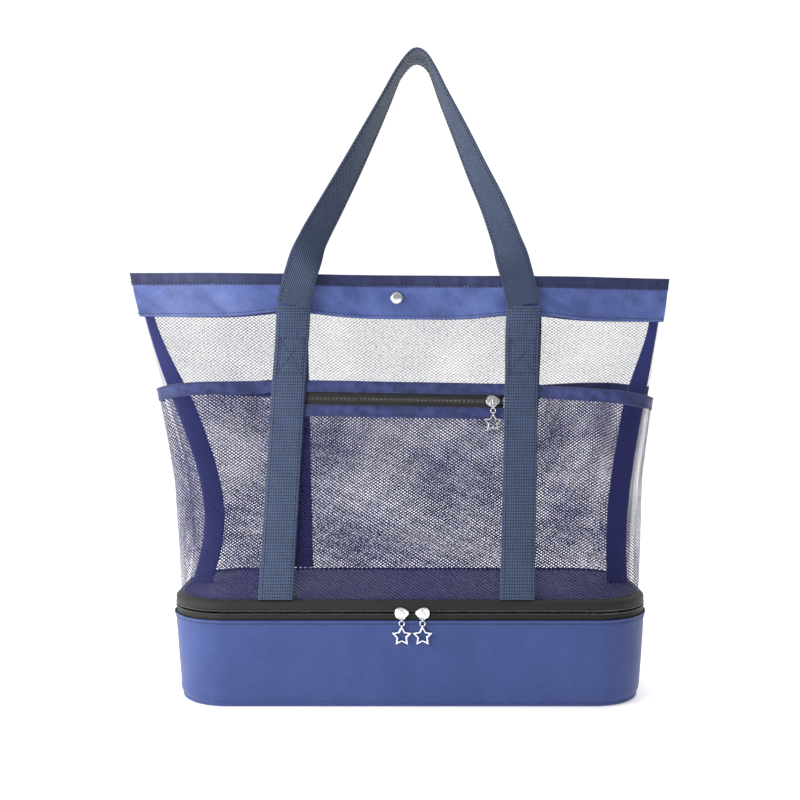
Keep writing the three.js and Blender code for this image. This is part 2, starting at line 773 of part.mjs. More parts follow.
// Two plates joined by a post, with a crown over the pull ring's wire. flip turns the narrow end
// to the other side.
function sliderBody(flip) {
  const plateOut = SLIDER_MOUTH + SLIDER_PLATE;
  const crownY = RING_Y - PULL_WIRE_R - 0.25;
  const body = joined([
    sliderFace(SLIDER_PLATE).translate(0, -SLIDER_MOUTH, 0),
    sliderFace(SLIDER_PLATE).translate(0, plateOut, 0),
    block(2, 4.4, -SLIDER_MOUTH - 0.4, SLIDER_MOUTH + 0.4, -0.4, 0.4),
    block(-0.8, 0.8, crownY - 0.5, -plateOut + 0.3, 1.7, 2.9),
    block(-0.8, 0.8, crownY - 0.5, -plateOut + 0.3, -2.9, -1.7),
    block(-0.8, 0.8, crownY - 1, crownY, -2.9, 2.9),
  ]);
  return flip ? body.rotateY(Math.PI) : body;
}

function pullRing() {
  const ring = new THREE.TorusGeometry(PULL_RING_R, PULL_WIRE_R, 6, 16);
  return ring.rotateX(Math.PI / 2).translate(0, RING_Y, RING_MIDDLE);
}

function starShape(radius, waist) {
  const shape = new THREE.Shape();
  for (let i = 0; i < 10; i += 1) {
    const a = Math.PI / 2 + (i * Math.PI) / 5;
    const r = i % 2 ? waist : radius;
    const move = i ? "lineTo" : "moveTo";
    shape[move](r * Math.cos(a), r * Math.sin(a));
  }
  shape.closePath();
  return shape;
}

// A hollow five-pointed star under an eyelet, with a small loop round the pull ring's lower wire.
function starCharm() {
  const hook = 1.25;
  const eye = 2.3;
  const low = RING_MIDDLE - PULL_RING_R;
  const loop = new THREE.TorusGeometry(hook, 0.35, 5, 9).rotateY(Math.PI / 2);
  const eyelet = new THREE.TorusGeometry(eye, 0.5, 6, 12).rotateX(Math.PI / 2);
  const star = starShape(STAR_R, STAR_R * STAR_WAIST);
  const inner = STAR_R - STAR_WIRE * 1.9;
  star.holes.push(starShape(inner, STAR_R * STAR_WAIST - STAR_WIRE * 1.05));
  const plateStar = new THREE.ExtrudeGeometry(star, { depth: 1.3, bevelEnabled: false });
  plateStar.translate(0, 0, -0.65).rotateX(Math.PI / 2);
  const eyeZ = low - hook - eye;
  return joined([
    loop.translate(0, RING_Y, low),
    eyelet.translate(0, RING_Y, eyeZ),
    plateStar.translate(0, RING_Y, eyeZ - eye - STAR_R + 0.5),
  ]);
}

function addSlider(name, flip, place) {
  add(`${name}_slider`, sliderBody(flip), "chrome", place);
  add(`${name}_pull_ring`, pullRing(), "chrome", place);
  add(`${name}_star_charm`, starCharm(), "chrome", place);
}

function buildSliders() {
  const y = -(COOLER_DEPTH / 2 - ZIP_TAPE_INSET - ZIP_TAPE / 2);
  const onWall = (x) => new THREE.Matrix4().makeTranslation(x, y, ZIP_MIDDLE);
  addSlider("cooler_left", false, onWall(SLIDER_LEFT_X));
  addSlider("cooler_right", true, onWall(SLIDER_RIGHT_X));
  // The pocket's slider lies on the leaning panel, in line with its zip.
  const slider = strapX(1, POCKET_TOP) - STRAP_WIDTH / 2 - POCKET_SLIDER_CLEAR;
  const lineAt = (x) => {
    const f = roundAt(x, POCKET_TOP);
    return offCloth(f, pocketTop(f) - CENTRE_ZIP_DEPTH, POCKET_OUT);
  };
  const origin = lineAt(slider);
  const right = origin.clone().sub(lineAt(slider - 20)).normalize();
  const out = clothNormal(roundAt(slider, origin.z), origin.z);
  const back = out.clone().negate();
  const up = new THREE.Vector3().crossVectors(right, back).normalize();
  const place = new THREE.Matrix4().makeBasis(right, back, up).setPosition(origin);
  addSlider("pocket", false, place);
}

buildCooler();
buildLid();
buildTote();
for (const side of [-1, 1]) slipPocket(side);
buildCentrePocket();
buildRearPocket();
buildStraps();
buildSnap();
buildSliders();

export default bag;
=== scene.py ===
"""Net beach tote zipped on to a low insulated cooler base, dressed over its CAD frame.

Sizes are in millimetres and become metres when a mesh is finished. +Z is up and the front
faces -Y. Every piece keeps its place in its mesh, with its object at the origin.
"""

from __future__ import annotations

import logging
import math
from dataclasses import dataclass, field
from enum import Enum
from typing import Callable, Iterable, Sequence

import bmesh
import bpy
from mathutils import Matrix, Vector, noise

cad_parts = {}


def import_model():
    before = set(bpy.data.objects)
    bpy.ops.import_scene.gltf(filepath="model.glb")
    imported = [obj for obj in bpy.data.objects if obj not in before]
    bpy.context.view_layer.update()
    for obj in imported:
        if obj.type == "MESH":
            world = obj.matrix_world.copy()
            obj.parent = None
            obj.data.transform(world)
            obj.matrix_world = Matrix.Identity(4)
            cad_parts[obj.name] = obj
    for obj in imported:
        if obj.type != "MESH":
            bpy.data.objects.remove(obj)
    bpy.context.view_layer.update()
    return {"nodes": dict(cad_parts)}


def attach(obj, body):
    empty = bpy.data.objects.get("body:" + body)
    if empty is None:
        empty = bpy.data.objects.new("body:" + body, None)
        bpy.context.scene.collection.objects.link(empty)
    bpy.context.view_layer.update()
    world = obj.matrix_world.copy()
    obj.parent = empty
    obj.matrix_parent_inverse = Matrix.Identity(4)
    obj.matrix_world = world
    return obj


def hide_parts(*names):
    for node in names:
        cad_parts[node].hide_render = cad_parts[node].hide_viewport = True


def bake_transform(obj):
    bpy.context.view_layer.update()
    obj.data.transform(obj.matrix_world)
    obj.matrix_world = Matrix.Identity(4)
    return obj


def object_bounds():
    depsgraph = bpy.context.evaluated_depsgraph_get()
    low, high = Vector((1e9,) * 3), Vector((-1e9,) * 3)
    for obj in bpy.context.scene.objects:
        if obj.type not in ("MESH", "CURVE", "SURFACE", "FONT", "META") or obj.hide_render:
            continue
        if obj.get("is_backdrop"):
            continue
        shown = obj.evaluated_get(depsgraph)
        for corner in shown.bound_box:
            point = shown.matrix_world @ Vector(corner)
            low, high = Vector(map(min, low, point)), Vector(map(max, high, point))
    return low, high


log = logging.getLogger("beach_bag")

MM = 0.001
UPRIGHT = Matrix.Rotation(math.pi / 2, 4, "X")
Colour = tuple[float, float, float]
Place = Callable[[float, float], Vector]


# ------------------------------------------------------------------ small helpers


def lerp(low: float, high: float, share: float) -> float:
    """Return the value that is share of the way from low to high."""
    return low + (high - low) * share


def clamp(value: float) -> float:
    """Return value held between 0 and 1."""
    return min(1.0, max(0.0, value))


def ease(value: float, low: float, high: float) -> float:
    """Return 0 below low, 1 above high and a smooth step between them."""
    t = clamp((value - low) / (high - low))
    return t * t * (3 - 2 * t)


def read(values: Sequence[float], share: float) -> float:
    """Return the value at a share of the way through a row of values.

    Args:
        values: the values, read as if they stood at even distances.
        share: how far along the row, from 0 to 1.

    Returns:
        The value there, between its two neighbours.
    """
    index = share * (len(values) - 1)
    low = min(int(index), len(values) - 2)
    return lerp(values[low], values[low + 1], index - low)


def ripple(at: Vector, size: float, seed: float) -> float:
    """Return smooth noise from about -1 to 1.

    Args:
        at: the point, in millimetres.
        size: the width of one wave, in millimetres.
        seed: which of many unlike patterns is read.

    Returns:
        The noise at that point.
    """
    return noise.noise(Vector((at.x / size + 17.3 * seed, at.y / size, at.z / size + 5.1 * seed)))


def linear(red: int, green: int, blue: int) -> Colour:
    """Return a display colour, 0 to 255 a channel, as the linear colour a shader takes.

    Args:
        red: the red channel.
        green: the green channel.
        blue: the blue channel.

    Returns:
        The linear colour.
    """

    def one(value: int) -> float:
        """Return one channel, linear."""
        share = value / 255
        return share / 12.92 if share <= 0.04045 else ((share + 0.055) / 1.055) ** 2.4

    return (one(red), one(green), one(blue))


# ------------------------------------------------------------------ finishes


class Nodes:
    """A material's node tree, with short names for the nodes that the finishes use."""

    def __init__(self, name: str) -> None:
        """Start a material with one Principled shader.

        Args:
            name: the material's name.
        """
        self.material = bpy.data.materials.new(name)
        self.material.use_nodes = True
        self.tree = self.material.node_tree
        self.shader = self.tree.nodes["Principled BSDF"]

    def add(self, kind: str, **settings: object) -> bpy.types.Node:
        """Add a node and set its properties.

        Args:
            kind: the node's type.
            settings: its properties.

        Returns:
            The node.
        """
        node = self.tree.nodes.new(kind)
        for key, value in settings.items():
            setattr(node, key, value)
        return node

    def put(self, socket: bpy.types.NodeSocket, value: object) -> None:
        """Link a socket's value if it comes from a node, and set it if it is constant.

        Args:
            socket: the socket that is fed.
            value: another socket, or the constant.
        """
        if isinstance(value, bpy.types.NodeSocket):
            self.tree.links.new(value, socket)
        else:
            socket.default_value = value

    def calc(self, operation: str, *values: object) -> bpy.types.NodeSocket:
        """Return the result of a Math node on up to three values.

        Args:
            operation: the node's operation.
            values: sockets or constants.

        Returns:
            Its output.
        """
        node = self.add("ShaderNodeMath", operation=operation)
        for socket, value in zip(node.inputs, values):
            self.put(socket, value)
        return node.outputs[0]

    def spread(
        self, value: object, low: float, high: float, to: tuple[float, float]
    ) -> bpy.types.NodeSocket:
        """Return value mapped from low..high to the range to, held inside it.

        Args:
            value: the socket that is read.
            low: where the range starts.
            high: where it ends.
            to: the two results at those ends.

        Returns:
            The mapped value.
        """
        node = self.add("ShaderNodeMapRange", interpolation_type="SMOOTHSTEP")
        for key, item in zip(("Value", "From Min", "From Max"), (value, low, high)):
            self.put(node.inputs[key], item)
        node.inputs["To Min"].default_value = to[0]
        node.inputs["To Max"].default_value = to[1]
        return node.outputs["Result"]

    def blend(self, share: object, low: object, high: object) -> bpy.types.NodeSocket:
        """Return the colour that is share of the way from low to high.

        Args:
            share: how far along, as a socket or a constant.
            low: the colour at 0.
            high: the colour at 1.

        Returns:
            The colour.
        """
        node = self.add("ShaderNodeMix", data_type="RGBA")
        self.put(node.inputs[0], share)
        for socket, value in ((node.inputs[6], low), (node.inputs[7], high)):
            self.put(socket, (*value, 1.0) if isinstance(value, tuple) else value)
        return node.outputs[2]

    def across_and_up(self, on_cloth: bool) -> tuple[bpy.types.NodeSocket, ...]:
        """Return two coordinates in millimetres and the vector that holds them.

        Args:
            on_cloth: read the piece's own UV map, which is in millimetres; if not, its
                place, with depth added across so that every side shows the pattern.

        Returns:
            The coordinate across, the coordinate up, and both as a vector.
        """
        coords = self.add("ShaderNodeTexCoord")
        split = self.add("ShaderNodeSeparateXYZ")
        self.put(split.inputs[0], coords.outputs["UV" if on_cloth else "Object"])
        across, up = split.outputs[0], split.outputs[1]
        if not on_cloth:
            up = self.calc("MULTIPLY", self.calc("ADD", split.outputs[1], split.outputs[2]), 1000)
            across = self.calc("MULTIPLY", across, 1000)
        both = self.add("ShaderNodeCombineXYZ")
        self.put(both.inputs[0], across)
        self.put(both.inputs[1], up)
        return across, up, both.outputs[0]

    def cloud(self, at: object, scale: float, detail: float = 2.0) -> bpy.types.NodeSocket:
        """Return soft noise from 0 to 1 at a vector in millimetres.

        Args:
            at: the vector.
            scale: waves to a millimetre.
            detail: how many finer layers are added.

        Returns:
            The noise.
        """
        node = self.add("ShaderNodeTexNoise")
        self.put(node.inputs["Vector"], at)
        node.inputs["Scale"].default_value = scale
        node.inputs["Detail"].default_value = detail
        return node.outputs["Fac"]

    def stretched(self, at: object, scale: tuple[float, float]) -> bpy.types.NodeSocket:
        """Return a vector with its two coordinates scaled.

        Args:
            at: the vector.
            scale: what each coordinate is multiplied by.

        Returns:
            The scaled vector.
        """
        node = self.add("ShaderNodeMapping")
        self.put(node.inputs["Vector"], at)
        node.inputs["Scale"].default_value = (*scale, 1.0)
        return node.outputs["Vector"]

    def relief(self, height: object, distance: float, strength: float) -> None:
        """Raise the surface by a height, through the shader's normal.

        Args:
            height: the height, as a socket.
            distance: how far one unit of it stands, in metres.
            strength: how strongly it shows.
        """
        node = self.add("ShaderNodeBump")
        self.put(node.inputs["Height"], height)
        node.inputs["Distance"].default_value = distance
        node.inputs["Strength"].default_value = strength
        self.put(self.shader.inputs["Normal"], node.outputs["Normal"])

    def looks(self, colour: object, roughness: object, metallic: float = 0.0) -> None:
        """Set the shader's colour, roughness and metal.

        Args:
            colour: a constant or a socket.
            roughness: a constant or a socket.
            metallic: 1 for bare metal.
        """
        is_flat = isinstance(colour, tuple)
        self.put(self.shader.inputs["Base Color"], (*colour, 1.0) if is_flat else colour)
        self.put(self.shader.inputs["Roughness"], roughness)
        self.shader.inputs["Metallic"].default_value = metallic


class Slot(Enum):
    """The material slots that each finish names."""

    BLUE = "blue_fabric"
    NAVY = "navy_fabric"
    BINDING = "binding"
    NET = "net"
    WEBBING = "webbing"
    ZIP = "zip"
    FOAM = "foam"
    FOIL = "foil"
    HARDWARE = "hardware"


class Weave(Enum):
    """How the threads of a cloth cross."""

    PLAIN = "plain"
    TWILL = "twill"
    BASKET = "basket"
    RIBBED = "ribbed"


@dataclass(frozen=True)
class Cloth:
    """A woven cloth: two tones of thread, a weave in relief, slubs and soft mottling."""

    name: str
    dark: Colour
    light: Colour
    slot: Slot = Slot.BLUE
    weave: Weave = Weave.PLAIN
    pitch: float = 1.1
    relief: float = 0.35
    roughness: float = 0.62
    sheen: float = 0.25
    mottle: float = 0.5
    contrast: float = 0.22
    patches: float = 0.035
    on_cloth: bool = True

    def thread(
        self, nodes: Nodes, across: bpy.types.NodeSocket, up: bpy.types.NodeSocket
    ) -> bpy.types.NodeSocket:
        """Return the height of the threads, from -1 to 1.

        Args:
            nodes: the material's nodes.
            across: the coordinate across the cloth.
            up: the coordinate up the cloth.

        Returns:
            The height.
        """
        turn = 2 * math.pi / self.pitch

        def wave(value: object, rate: float) -> bpy.types.NodeSocket:
            """Return a sine wave of a coordinate."""
            return nodes.calc("SINE", nodes.calc("MULTIPLY", value, rate))

        if self.weave is Weave.TWILL:
            along = wave(nodes.calc("ADD", nodes.calc("MULTIPLY", across, 1.3), up), turn)
            return nodes.calc("ADD", along, nodes.calc("MULTIPLY", wave(up, turn * 1.9), 0.35))
        if self.weave is Weave.RIBBED:
            return wave(across, turn)
        if self.weave is Weave.BASKET:
            return nodes.calc(
                "MULTIPLY", nodes.calc("ADD", wave(across, turn), wave(up, turn * 0.8)), 0.5
            )
        return nodes.calc("MULTIPLY", wave(across, turn / 2), wave(up, turn / 2))

    def material(self) -> bpy.types.Material:
        """Return the finished material.

        Returns:
            The material.
        """
        nodes = Nodes(self.name)
        across, up, both = nodes.across_and_up(self.on_cloth)
        thread = self.thread(nodes, across, up)
        slub = nodes.cloud(nodes.stretched(both, (0.12, 1.6)), 1.0, 1.0)
        warp = nodes.cloud(nodes.stretched(both, (1.6, 0.12)), 1.0, 1.0)
        patch = nodes.cloud(both, self.patches, 3.0)
        tone = nodes.calc("MULTIPLY_ADD", thread, self.contrast, 0.5)
        for part, weight in ((slub, 0.45), (warp, 0.45), (patch, self.mottle)):
            tone = nodes.calc("ADD", tone, nodes.calc("MULTIPLY_ADD", part, weight, -weight / 2))
        nodes.looks(nodes.blend(tone, self.dark, self.light), self.roughness)
        nodes.shader.inputs["Sheen Weight"].default_value = self.sheen
        nodes.shader.inputs["Sheen Roughness"].default_value = 0.4
        nodes.shader.inputs["Specular IOR Level"].default_value = 0.35
        height = nodes.calc("ADD", thread, nodes.calc("MULTIPLY", slub, 0.8))
        nodes.relief(height, 0.0002, self.relief)
        return nodes.material


@dataclass(frozen=True)
class Net:
    """A knitted net: slanting threads with open holes, thicker along one slant."""

    name: str
    dark: Colour
    light: Colour
    slot: Slot = Slot.NET
    along: float = 4.4
    rise: float = 2.9
    thread: float = 0.2
    cross: float = 0.08

    def material(self) -> bpy.types.Material:
        """Return the finished material, which is clear in the net's holes.

        Returns:
            The material.
        """
        nodes = Nodes(self.name)
        across, up, both = nodes.across_and_up(True)
        patch = nodes.cloud(both, 0.04, 2.0)
        knot = nodes.cloud(nodes.stretched(both, (0.3, 0.5)), 1.0, 1.0)
        loose = nodes.calc("MULTIPLY_ADD", nodes.cloud(both, 0.012, 1.0), 1.4, 0.3)
        masks = []
        for sign, width in ((1.0, self.thread), (-1.0, self.cross)):
            slant = nodes.calc("MULTIPLY", up, sign / self.rise)
            line = nodes.calc("ADD", nodes.calc("DIVIDE", across, self.along), slant)
            line = nodes.calc("ADD", line, nodes.calc("MULTIPLY", knot, 0.5))
            away = nodes.calc("ABSOLUTE", nodes.calc("SUBTRACT", nodes.calc("FRACT", line), 0.5))
            masks.append(nodes.calc("LESS_THAN", away, nodes.calc("MULTIPLY", loose, width / 2)))
        alpha = nodes.calc("MAXIMUM", *masks)
        tone = nodes.calc("MULTIPLY_ADD", patch, 0.6, nodes.calc("MULTIPLY_ADD", knot, 0.8, -0.2))
        nodes.looks(nodes.blend(tone, self.dark, self.light), 0.5)
        nodes.put(nodes.shader.inputs["Alpha"], alpha)
        nodes.shader.inputs["Specular IOR Level"].default_value = 0.2
        nodes.relief(nodes.calc("SUBTRACT", masks[0], masks[1]), 0.0003, 0.4)
        return nodes.material


@dataclass(frozen=True)
class Metal:
    """Polished plated metal with faint waves and handling marks."""

    name: str
    colour: Colour
    slot: Slot = Slot.HARDWARE
    roughness: float = 0.12

    def material(self) -> bpy.types.Material:
        """Return the finished material.

        Returns:
            The material.
        """
        nodes = Nodes(self.name)
        _, _, both = nodes.across_and_up(False)
        marks = nodes.cloud(both, 0.9, 3.0)
        worn = nodes.spread(marks, 0.45, 0.8, (self.roughness, self.roughness + 0.18))
        dull = tuple(0.82 * c for c in self.colour)
        nodes.looks(nodes.blend(marks, self.colour, dull), worn, 1.0)
        nodes.relief(marks, 0.0001, 0.12)
        return nodes.material


@dataclass(frozen=True)
class Coil:
    """A moulded zip coil: close black turns, with a painted highlight on the crown of each turn."""

    name: str
    dark: Colour
    light: Colour
    slot: Slot = Slot.ZIP
    pitch: float = 1.5

    def material(self) -> bpy.types.Material:
        """Return the finished material.

        Returns:
            The material.
        """
        nodes = Nodes(self.name)
        across, _, both = nodes.across_and_up(True)
        turn = nodes.calc("SINE", nodes.calc("MULTIPLY", across, 2 * math.pi / self.pitch))
        crown = nodes.spread(turn, -0.2, 0.9, (0.0, 1.0))
        # Painted highlight: the colour turns light on each turn's crown, broken up by noise.
        painted_highlight = nodes.calc("MULTIPLY", crown, nodes.cloud(both, 0.4, 2.0))
        nodes.looks(nodes.blend(painted_highlight, self.dark, self.light), 0.32)
        nodes.relief(turn, 0.0005, 0.8)
        return nodes.material


@dataclass(frozen=True)
class Foil:
    """Crinkled metallised film."""

    name: str
    colour: Colour
    slot: Slot = Slot.FOIL

    def material(self) -> bpy.types.Material:
        """Return the finished material.

        Returns:
            The material.
        """
        nodes = Nodes(self.name)
        _, _, both = nodes.across_and_up(False)
        crease = nodes.cloud(both, 0.16, 4.0)
        dull = tuple(0.75 * c for c in self.colour)
        nodes.looks(nodes.blend(crease, self.colour, dull), 0.3, 0.85)
        nodes.relief(crease, 0.003, 0.7)
        return nodes.material


@dataclass(frozen=True)
class Foam:
    """Closed-cell foam with fine open pores, with painted shade in their hollows."""

    name: str
    colour: Colour
    slot: Slot = Slot.FOAM

    def material(self) -> bpy.types.Material:
        """Return the finished material.

        Returns:
            The material.
        """
        nodes = Nodes(self.name)
        _, _, both = nodes.across_and_up(False)
        pores = nodes.cloud(both, 1.4, 3.0)
        # Painted shade: the colour darkens where the pore noise, and so the bump, is low.
        dark = tuple(0.8 * c for c in self.colour)
        nodes.looks(nodes.blend(pores, dark, self.colour), 0.9)
        nodes.relief(pores, 0.0006, 0.4)
        return nodes.material


Finish = Cloth | Net | Metal | Coil | Foil | Foam

BASE_CLOTH = Cloth("base_cloth", linear(32, 47, 98), linear(64, 83, 142), pitch=1.3)
BAND_CLOTH = Cloth(
    "band_cloth",
    linear(30, 41, 90),
    linear(90, 109, 172),
    pitch=1.0,
    mottle=1.1,
    roughness=0.42,
)
BINDING_CLOTH = Cloth(
    "binding_cloth",
    linear(12, 16, 46),
    linear(42, 50, 98),
    slot=Slot.BINDING,
    pitch=0.9,
    mottle=1.2,
    patches=0.08,
    roughness=0.55,
)
HEM_CLOTH = Cloth(
    "hem_cloth",
    linear(12, 16, 56),
    linear(58, 69, 124),
    slot=Slot.NAVY,
    pitch=0.9,
    mottle=1.8,
    patches=0.09,
)
RIBBON_CLOTH = Cloth(
    "ribbon_cloth",
    linear(16, 22, 84),
    linear(40, 48, 124),
    slot=Slot.NAVY,
    weave=Weave.TWILL,
    pitch=1.4,
)
FLOOR_CLOTH = Cloth(
    "tote_floor_cloth",
    linear(6, 9, 56),
    linear(22, 28, 96),
    slot=Slot.NAVY,
    pitch=1.3,
    mottle=0.7,
)
WEBBING = Cloth(
    "handle_webbing",
    linear(12, 18, 34),
    linear(60, 78, 110),
    slot=Slot.WEBBING,
    weave=Weave.TWILL,
    pitch=2.9,
    relief=0.8,
    mottle=0.35,
    contrast=0.4,
)
STRAP_WEBBING = Cloth(
    "strap_webbing",
    linear(12, 19, 36),
    linear(68, 85, 118),
    slot=Slot.WEBBING,
    weave=Weave.BASKET,
    pitch=2.3,
    relief=0.7,
    mottle=0.35,
    contrast=0.45,
)
THREAD = Cloth(
    "sewing_thread", linear(8, 10, 26), linear(24, 28, 60), slot=Slot.BINDING, pitch=0.6
)
ZIP_TAPE = Cloth(
    "zip_tape",
    linear(8, 8, 9),
    linear(26, 26, 28),
    slot=Slot.ZIP,
    weave=Weave.RIBBED,
    pitch=1.2,
    sheen=0.1,
)
# A darker copy of the base cloth: painted shade for the downward-facing underside.
UNDERSIDE_PAINTED_SHADE_CLOTH = Cloth(
    "underside_cloth_painted_shade", linear(26, 36, 80), linear(56, 72, 128), pitch=1.2, on_cloth=False
)
# The coil's second colour is its painted highlight on the crowns of the turns.
ZIP_COIL = Coil("zip_coil", linear(8, 8, 9), linear(96, 94, 90))
PANEL_NET = Net("panel_net", linear(22, 22, 50), linear(60, 61, 98), thread=0.15, cross=0.05)
POCKET_NET = Net("pocket_net", linear(8, 10, 48), linear(44, 46, 106), thread=0.42, cross=0.1)
CHROME = Metal("chrome", (0.83, 0.84, 0.86))
FOIL = Foil("foil", (0.78, 0.8, 0.83))
FOAM = Foam("foam", (0.84, 0.84, 0.8))


class Finishes:
    """The materials made so far, one for each finish."""

    made: dict[str, bpy.types.Material] = {}

    @classmethod
    def get(cls, finish: Finish) -> bpy.types.Material:
        """Return a finish's material, made the first time it is asked for.

        Args:
            finish: the finish.

        Returns:
            Its material.
        """
        if finish.name not in cls.made:
            cls.made[finish.name] = finish.material()
        return cls.made[finish.name]


# ------------------------------------------------------------------ the bag's shape


@dataclass(frozen=True)
class CoolerShape:
    """The cooler's outline and the heights of what is stacked on it."""

    width: float = 450
    depth: float = 165
    corner: float = 55
    wall_top: float = 82
    taper: float = 6
    zip_middle: float = 89
    hinge_half: float = 150
    zip_height: float = 6

    @property
    def zip_size(self) -> tuple[float, float]:
        """The zip half's flat length and height."""
        return (self.girth - 2 * self.hinge_half, self.zip_height)

    @property
    def girth(self) -> float:
        """The outline's whole length."""
        straight = 2 * (self.width + self.depth - 4 * self.corner)
        return straight + 2 * math.pi * self.corner

    def inset_at(self, z: float) -> float:
        """Return how far the leaning wall stands inside the top outline at a height."""
        return self.taper * (1 - z / self.wall_top)

    def point(self, share: float, inset: float, z: float) -> Vector:
        """Return a point of the outline.

        Args:
            share: the share of the girth, from the rear middle, past the left end.
            inset: how far inside the outline the point lies.
            z: its height.

        Returns:
            The point.
        """
        half = self.width / 2 - self.corner
        deep = self.depth / 2 - self.corner
        arc = math.pi / 2 * self.corner
        runs = (half, arc, 2 * deep, arc, 2 * half, arc, 2 * deep, arc, half)
        left = (share % 1.0) * self.girth
        index = 0
        while index < 8 and left > runs[index]:
            left -= runs[index]
            index += 1
        r = self.corner - inset
        centres = ((-half, deep), (-half, -deep), (half, -deep), (half, deep))
        if index % 2:
            centre = centres[index // 2]
            angle = math.pi / 2 * (index // 2 + 1) + left / self.corner
            x, y = centre[0] + r * math.cos(angle), centre[1] + r * math.sin(angle)
        elif index == 0:
            x, y = -left, deep + r
        elif index == 2:
            x, y = -half - r, deep - left
        elif index == 4:
            x, y = -half + left, -deep - r
        elif index == 6:
            x, y = half + r, -deep + left
        else:
            x, y = half - left, deep + r
        return Vector((x, y, z))


@dataclass(frozen=True)
class ToteShape:
    """The resting shape of the tote's cloth, from its foot to its pressed mouth."""

    foot: float = 98.2
    foot_half: float = 217
    foot_deep: float = 74.5
    foot_corner: float = 50
    mouth_half: float = 261
    mouth_deep: float = 14
    rim: float = 403
    band_low: float = 362
    binding_low: float = 392
    press: float = 300
    gape: float = 14.4
    at_snap: float = 3.4
    at_seam: float = 2.0
    shift: float = -10
    slope: float = 0.0105
    pleat_left: float = 28
    pleat_right: float = 9
    overhang: float = 4

    def level(self, z: float, spread: float = 0.0) -> tuple[float, float, float, float, float]:
        """Return the height's share, half width, half depth, corner radius and half girth.

        Args:
            z: the height on the cloth.
            spread: how much wider than the net the piece is on each side.

        Returns:
            All five, in that order.
        """
        t = clamp((z - self.foot) / (self.rim - self.foot))
        half = lerp(self.foot_half, self.mouth_half, t) + spread
        rise = clamp((z - self.foot) / (self.band_low - self.foot))
        deep = lerp(self.foot_deep, self.mouth_deep, rise)
        r = min(self.foot_corner, deep)
        return t, half, deep, r, half - r + math.pi / 2 * r + deep - r

    def point(self, f: float, z: float, spread: float = 0.0) -> Vector:
        """Return a point of the front cloth.

        Args:
            f: the share of the way round, from -1 at the left side seam to 1 at the right.
            z: the height on the cloth.
            spread: how much wider than the net the piece is on each side.

        Returns:
            The point.
        """
        t, half, deep, r, girth = self.level(z, spread)
        side = -1 if f < 0 else 1
        along = abs(f) * girth
        bend = along - (half - r)
        if bend > math.pi / 2 * r:
            x, y = half, deep - r - (bend - math.pi / 2 * r)
        elif bend > 0:
            x, y = half - r + r * math.sin(bend / r), deep - r + r * math.cos(bend / r)
        else:
            x, y = along, deep
        q = clamp(x / half)
        lens = lerp(self.at_snap, self.at_seam, q) + self.gape * math.sin(math.pi * q) ** 2
        pressed = ease(z, self.press, self.band_low)
        y = lerp(y, lens, pressed)
        depth = self.pleat_left if side < 0 else self.pleat_right
        pleat = depth * math.sin(math.pi * t**0.6) ** 2
        x -= 1.1 * pleat * ease(abs(f), 0.8, 1.06)
        x = side * x + self.shift * t
        return Vector((x, -y, z - self.slope * x * pressed))

    def normal(self, f: float, z: float, spread: float = 0.0) -> Vector:
        """Return the front cloth's outward direction.

        Args:
            f: the share of the way round.
            z: the height on the cloth.
            spread: how much wider than the net the piece is on each side.

        Returns:
            The direction, of length 1.
        """
        right = self.point(min(1, f + 0.004), z, spread) - self.point(max(-1, f - 0.004), z, spread)
        up = self.point(f, z + 1, spread) - self.point(f, z - 1, spread)
        return right.cross(up).normalized()

    def off(self, f: float, z: float, out: float, spread: float = 0.0) -> Vector:
        """Return a point that stands off the front cloth."""
        return self.point(f, z, spread) + self.normal(f, z, spread) * out

    def round_at(self, x: float, z: float) -> float:
        """Return the share of the way round at which the front cloth passes x."""
        t, _, _, _, girth = self.level(z)
        return (x - self.shift * t) / girth


COOLER = CoolerShape()
TOTE = ToteShape()


# ------------------------------------------------------------------ making pieces


@dataclass
class Maker:
    """Turns bmesh shapes into finished pieces that ride on the frame."""

    body: str

    def finish(
        self,
        name: str,
        bm: bmesh.types.BMesh,
        finish: Finish,
        replaces: Sequence[str] = (),
        thick: float = 0.0,
        bevel: float = 0.0,
        rounds: int = 2,
        rear: bool = False,
        body: str | None = None,
        ride: bool = True,
    ) -> bpy.types.Object:
        """Make an object of a bmesh, dress it and hang it on its body.

        Args:
            name: the piece's name.
            bm: its shape in millimetres, which is freed.
            finish: what it is made of.
            replaces: the CAD nodes that it stands for.
            thick: the thickness a flat shape is given, about its middle.
            bevel: the width of its rounded edges.
            rounds: the facets of each rounded edge.
            rear: mirror it from front to rear.
            body: the body it rides on, if not the maker's own.
            ride: hang it on the body now.

        Returns:
            The finished piece.
        """
        scale = (MM, -MM if rear else MM, MM)
        bmesh.ops.scale(bm, vec=scale, verts=bm.verts)
        if rear:
            bmesh.ops.reverse_faces(bm, faces=bm.faces)
        mesh = bpy.data.meshes.new(name)
        bm.to_mesh(mesh)
        bm.free()
        mesh.polygons.foreach_set("use_smooth", [True] * len(mesh.polygons))
        mesh.materials.append(Finishes.get(finish))
        piece = bpy.data.objects.new(name, mesh)
        bpy.context.scene.collection.objects.link(piece)
        if thick:
            solid = piece.modifiers.new("thickness", "SOLIDIFY")
            solid.thickness = thick * MM
            solid.offset = 0
        if bevel:
            edge = piece.modifiers.new("rounded", "BEVEL")
            edge.width = bevel * MM
            edge.segments = rounds
            edge.limit_method = "ANGLE"
            edge.angle_limit = math.radians(40)
        if ride:
            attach(piece, body or self.body)
        if replaces:
            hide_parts(*replaces)
        log.info("%s: %d faces", name, len(mesh.polygons))
        return piece


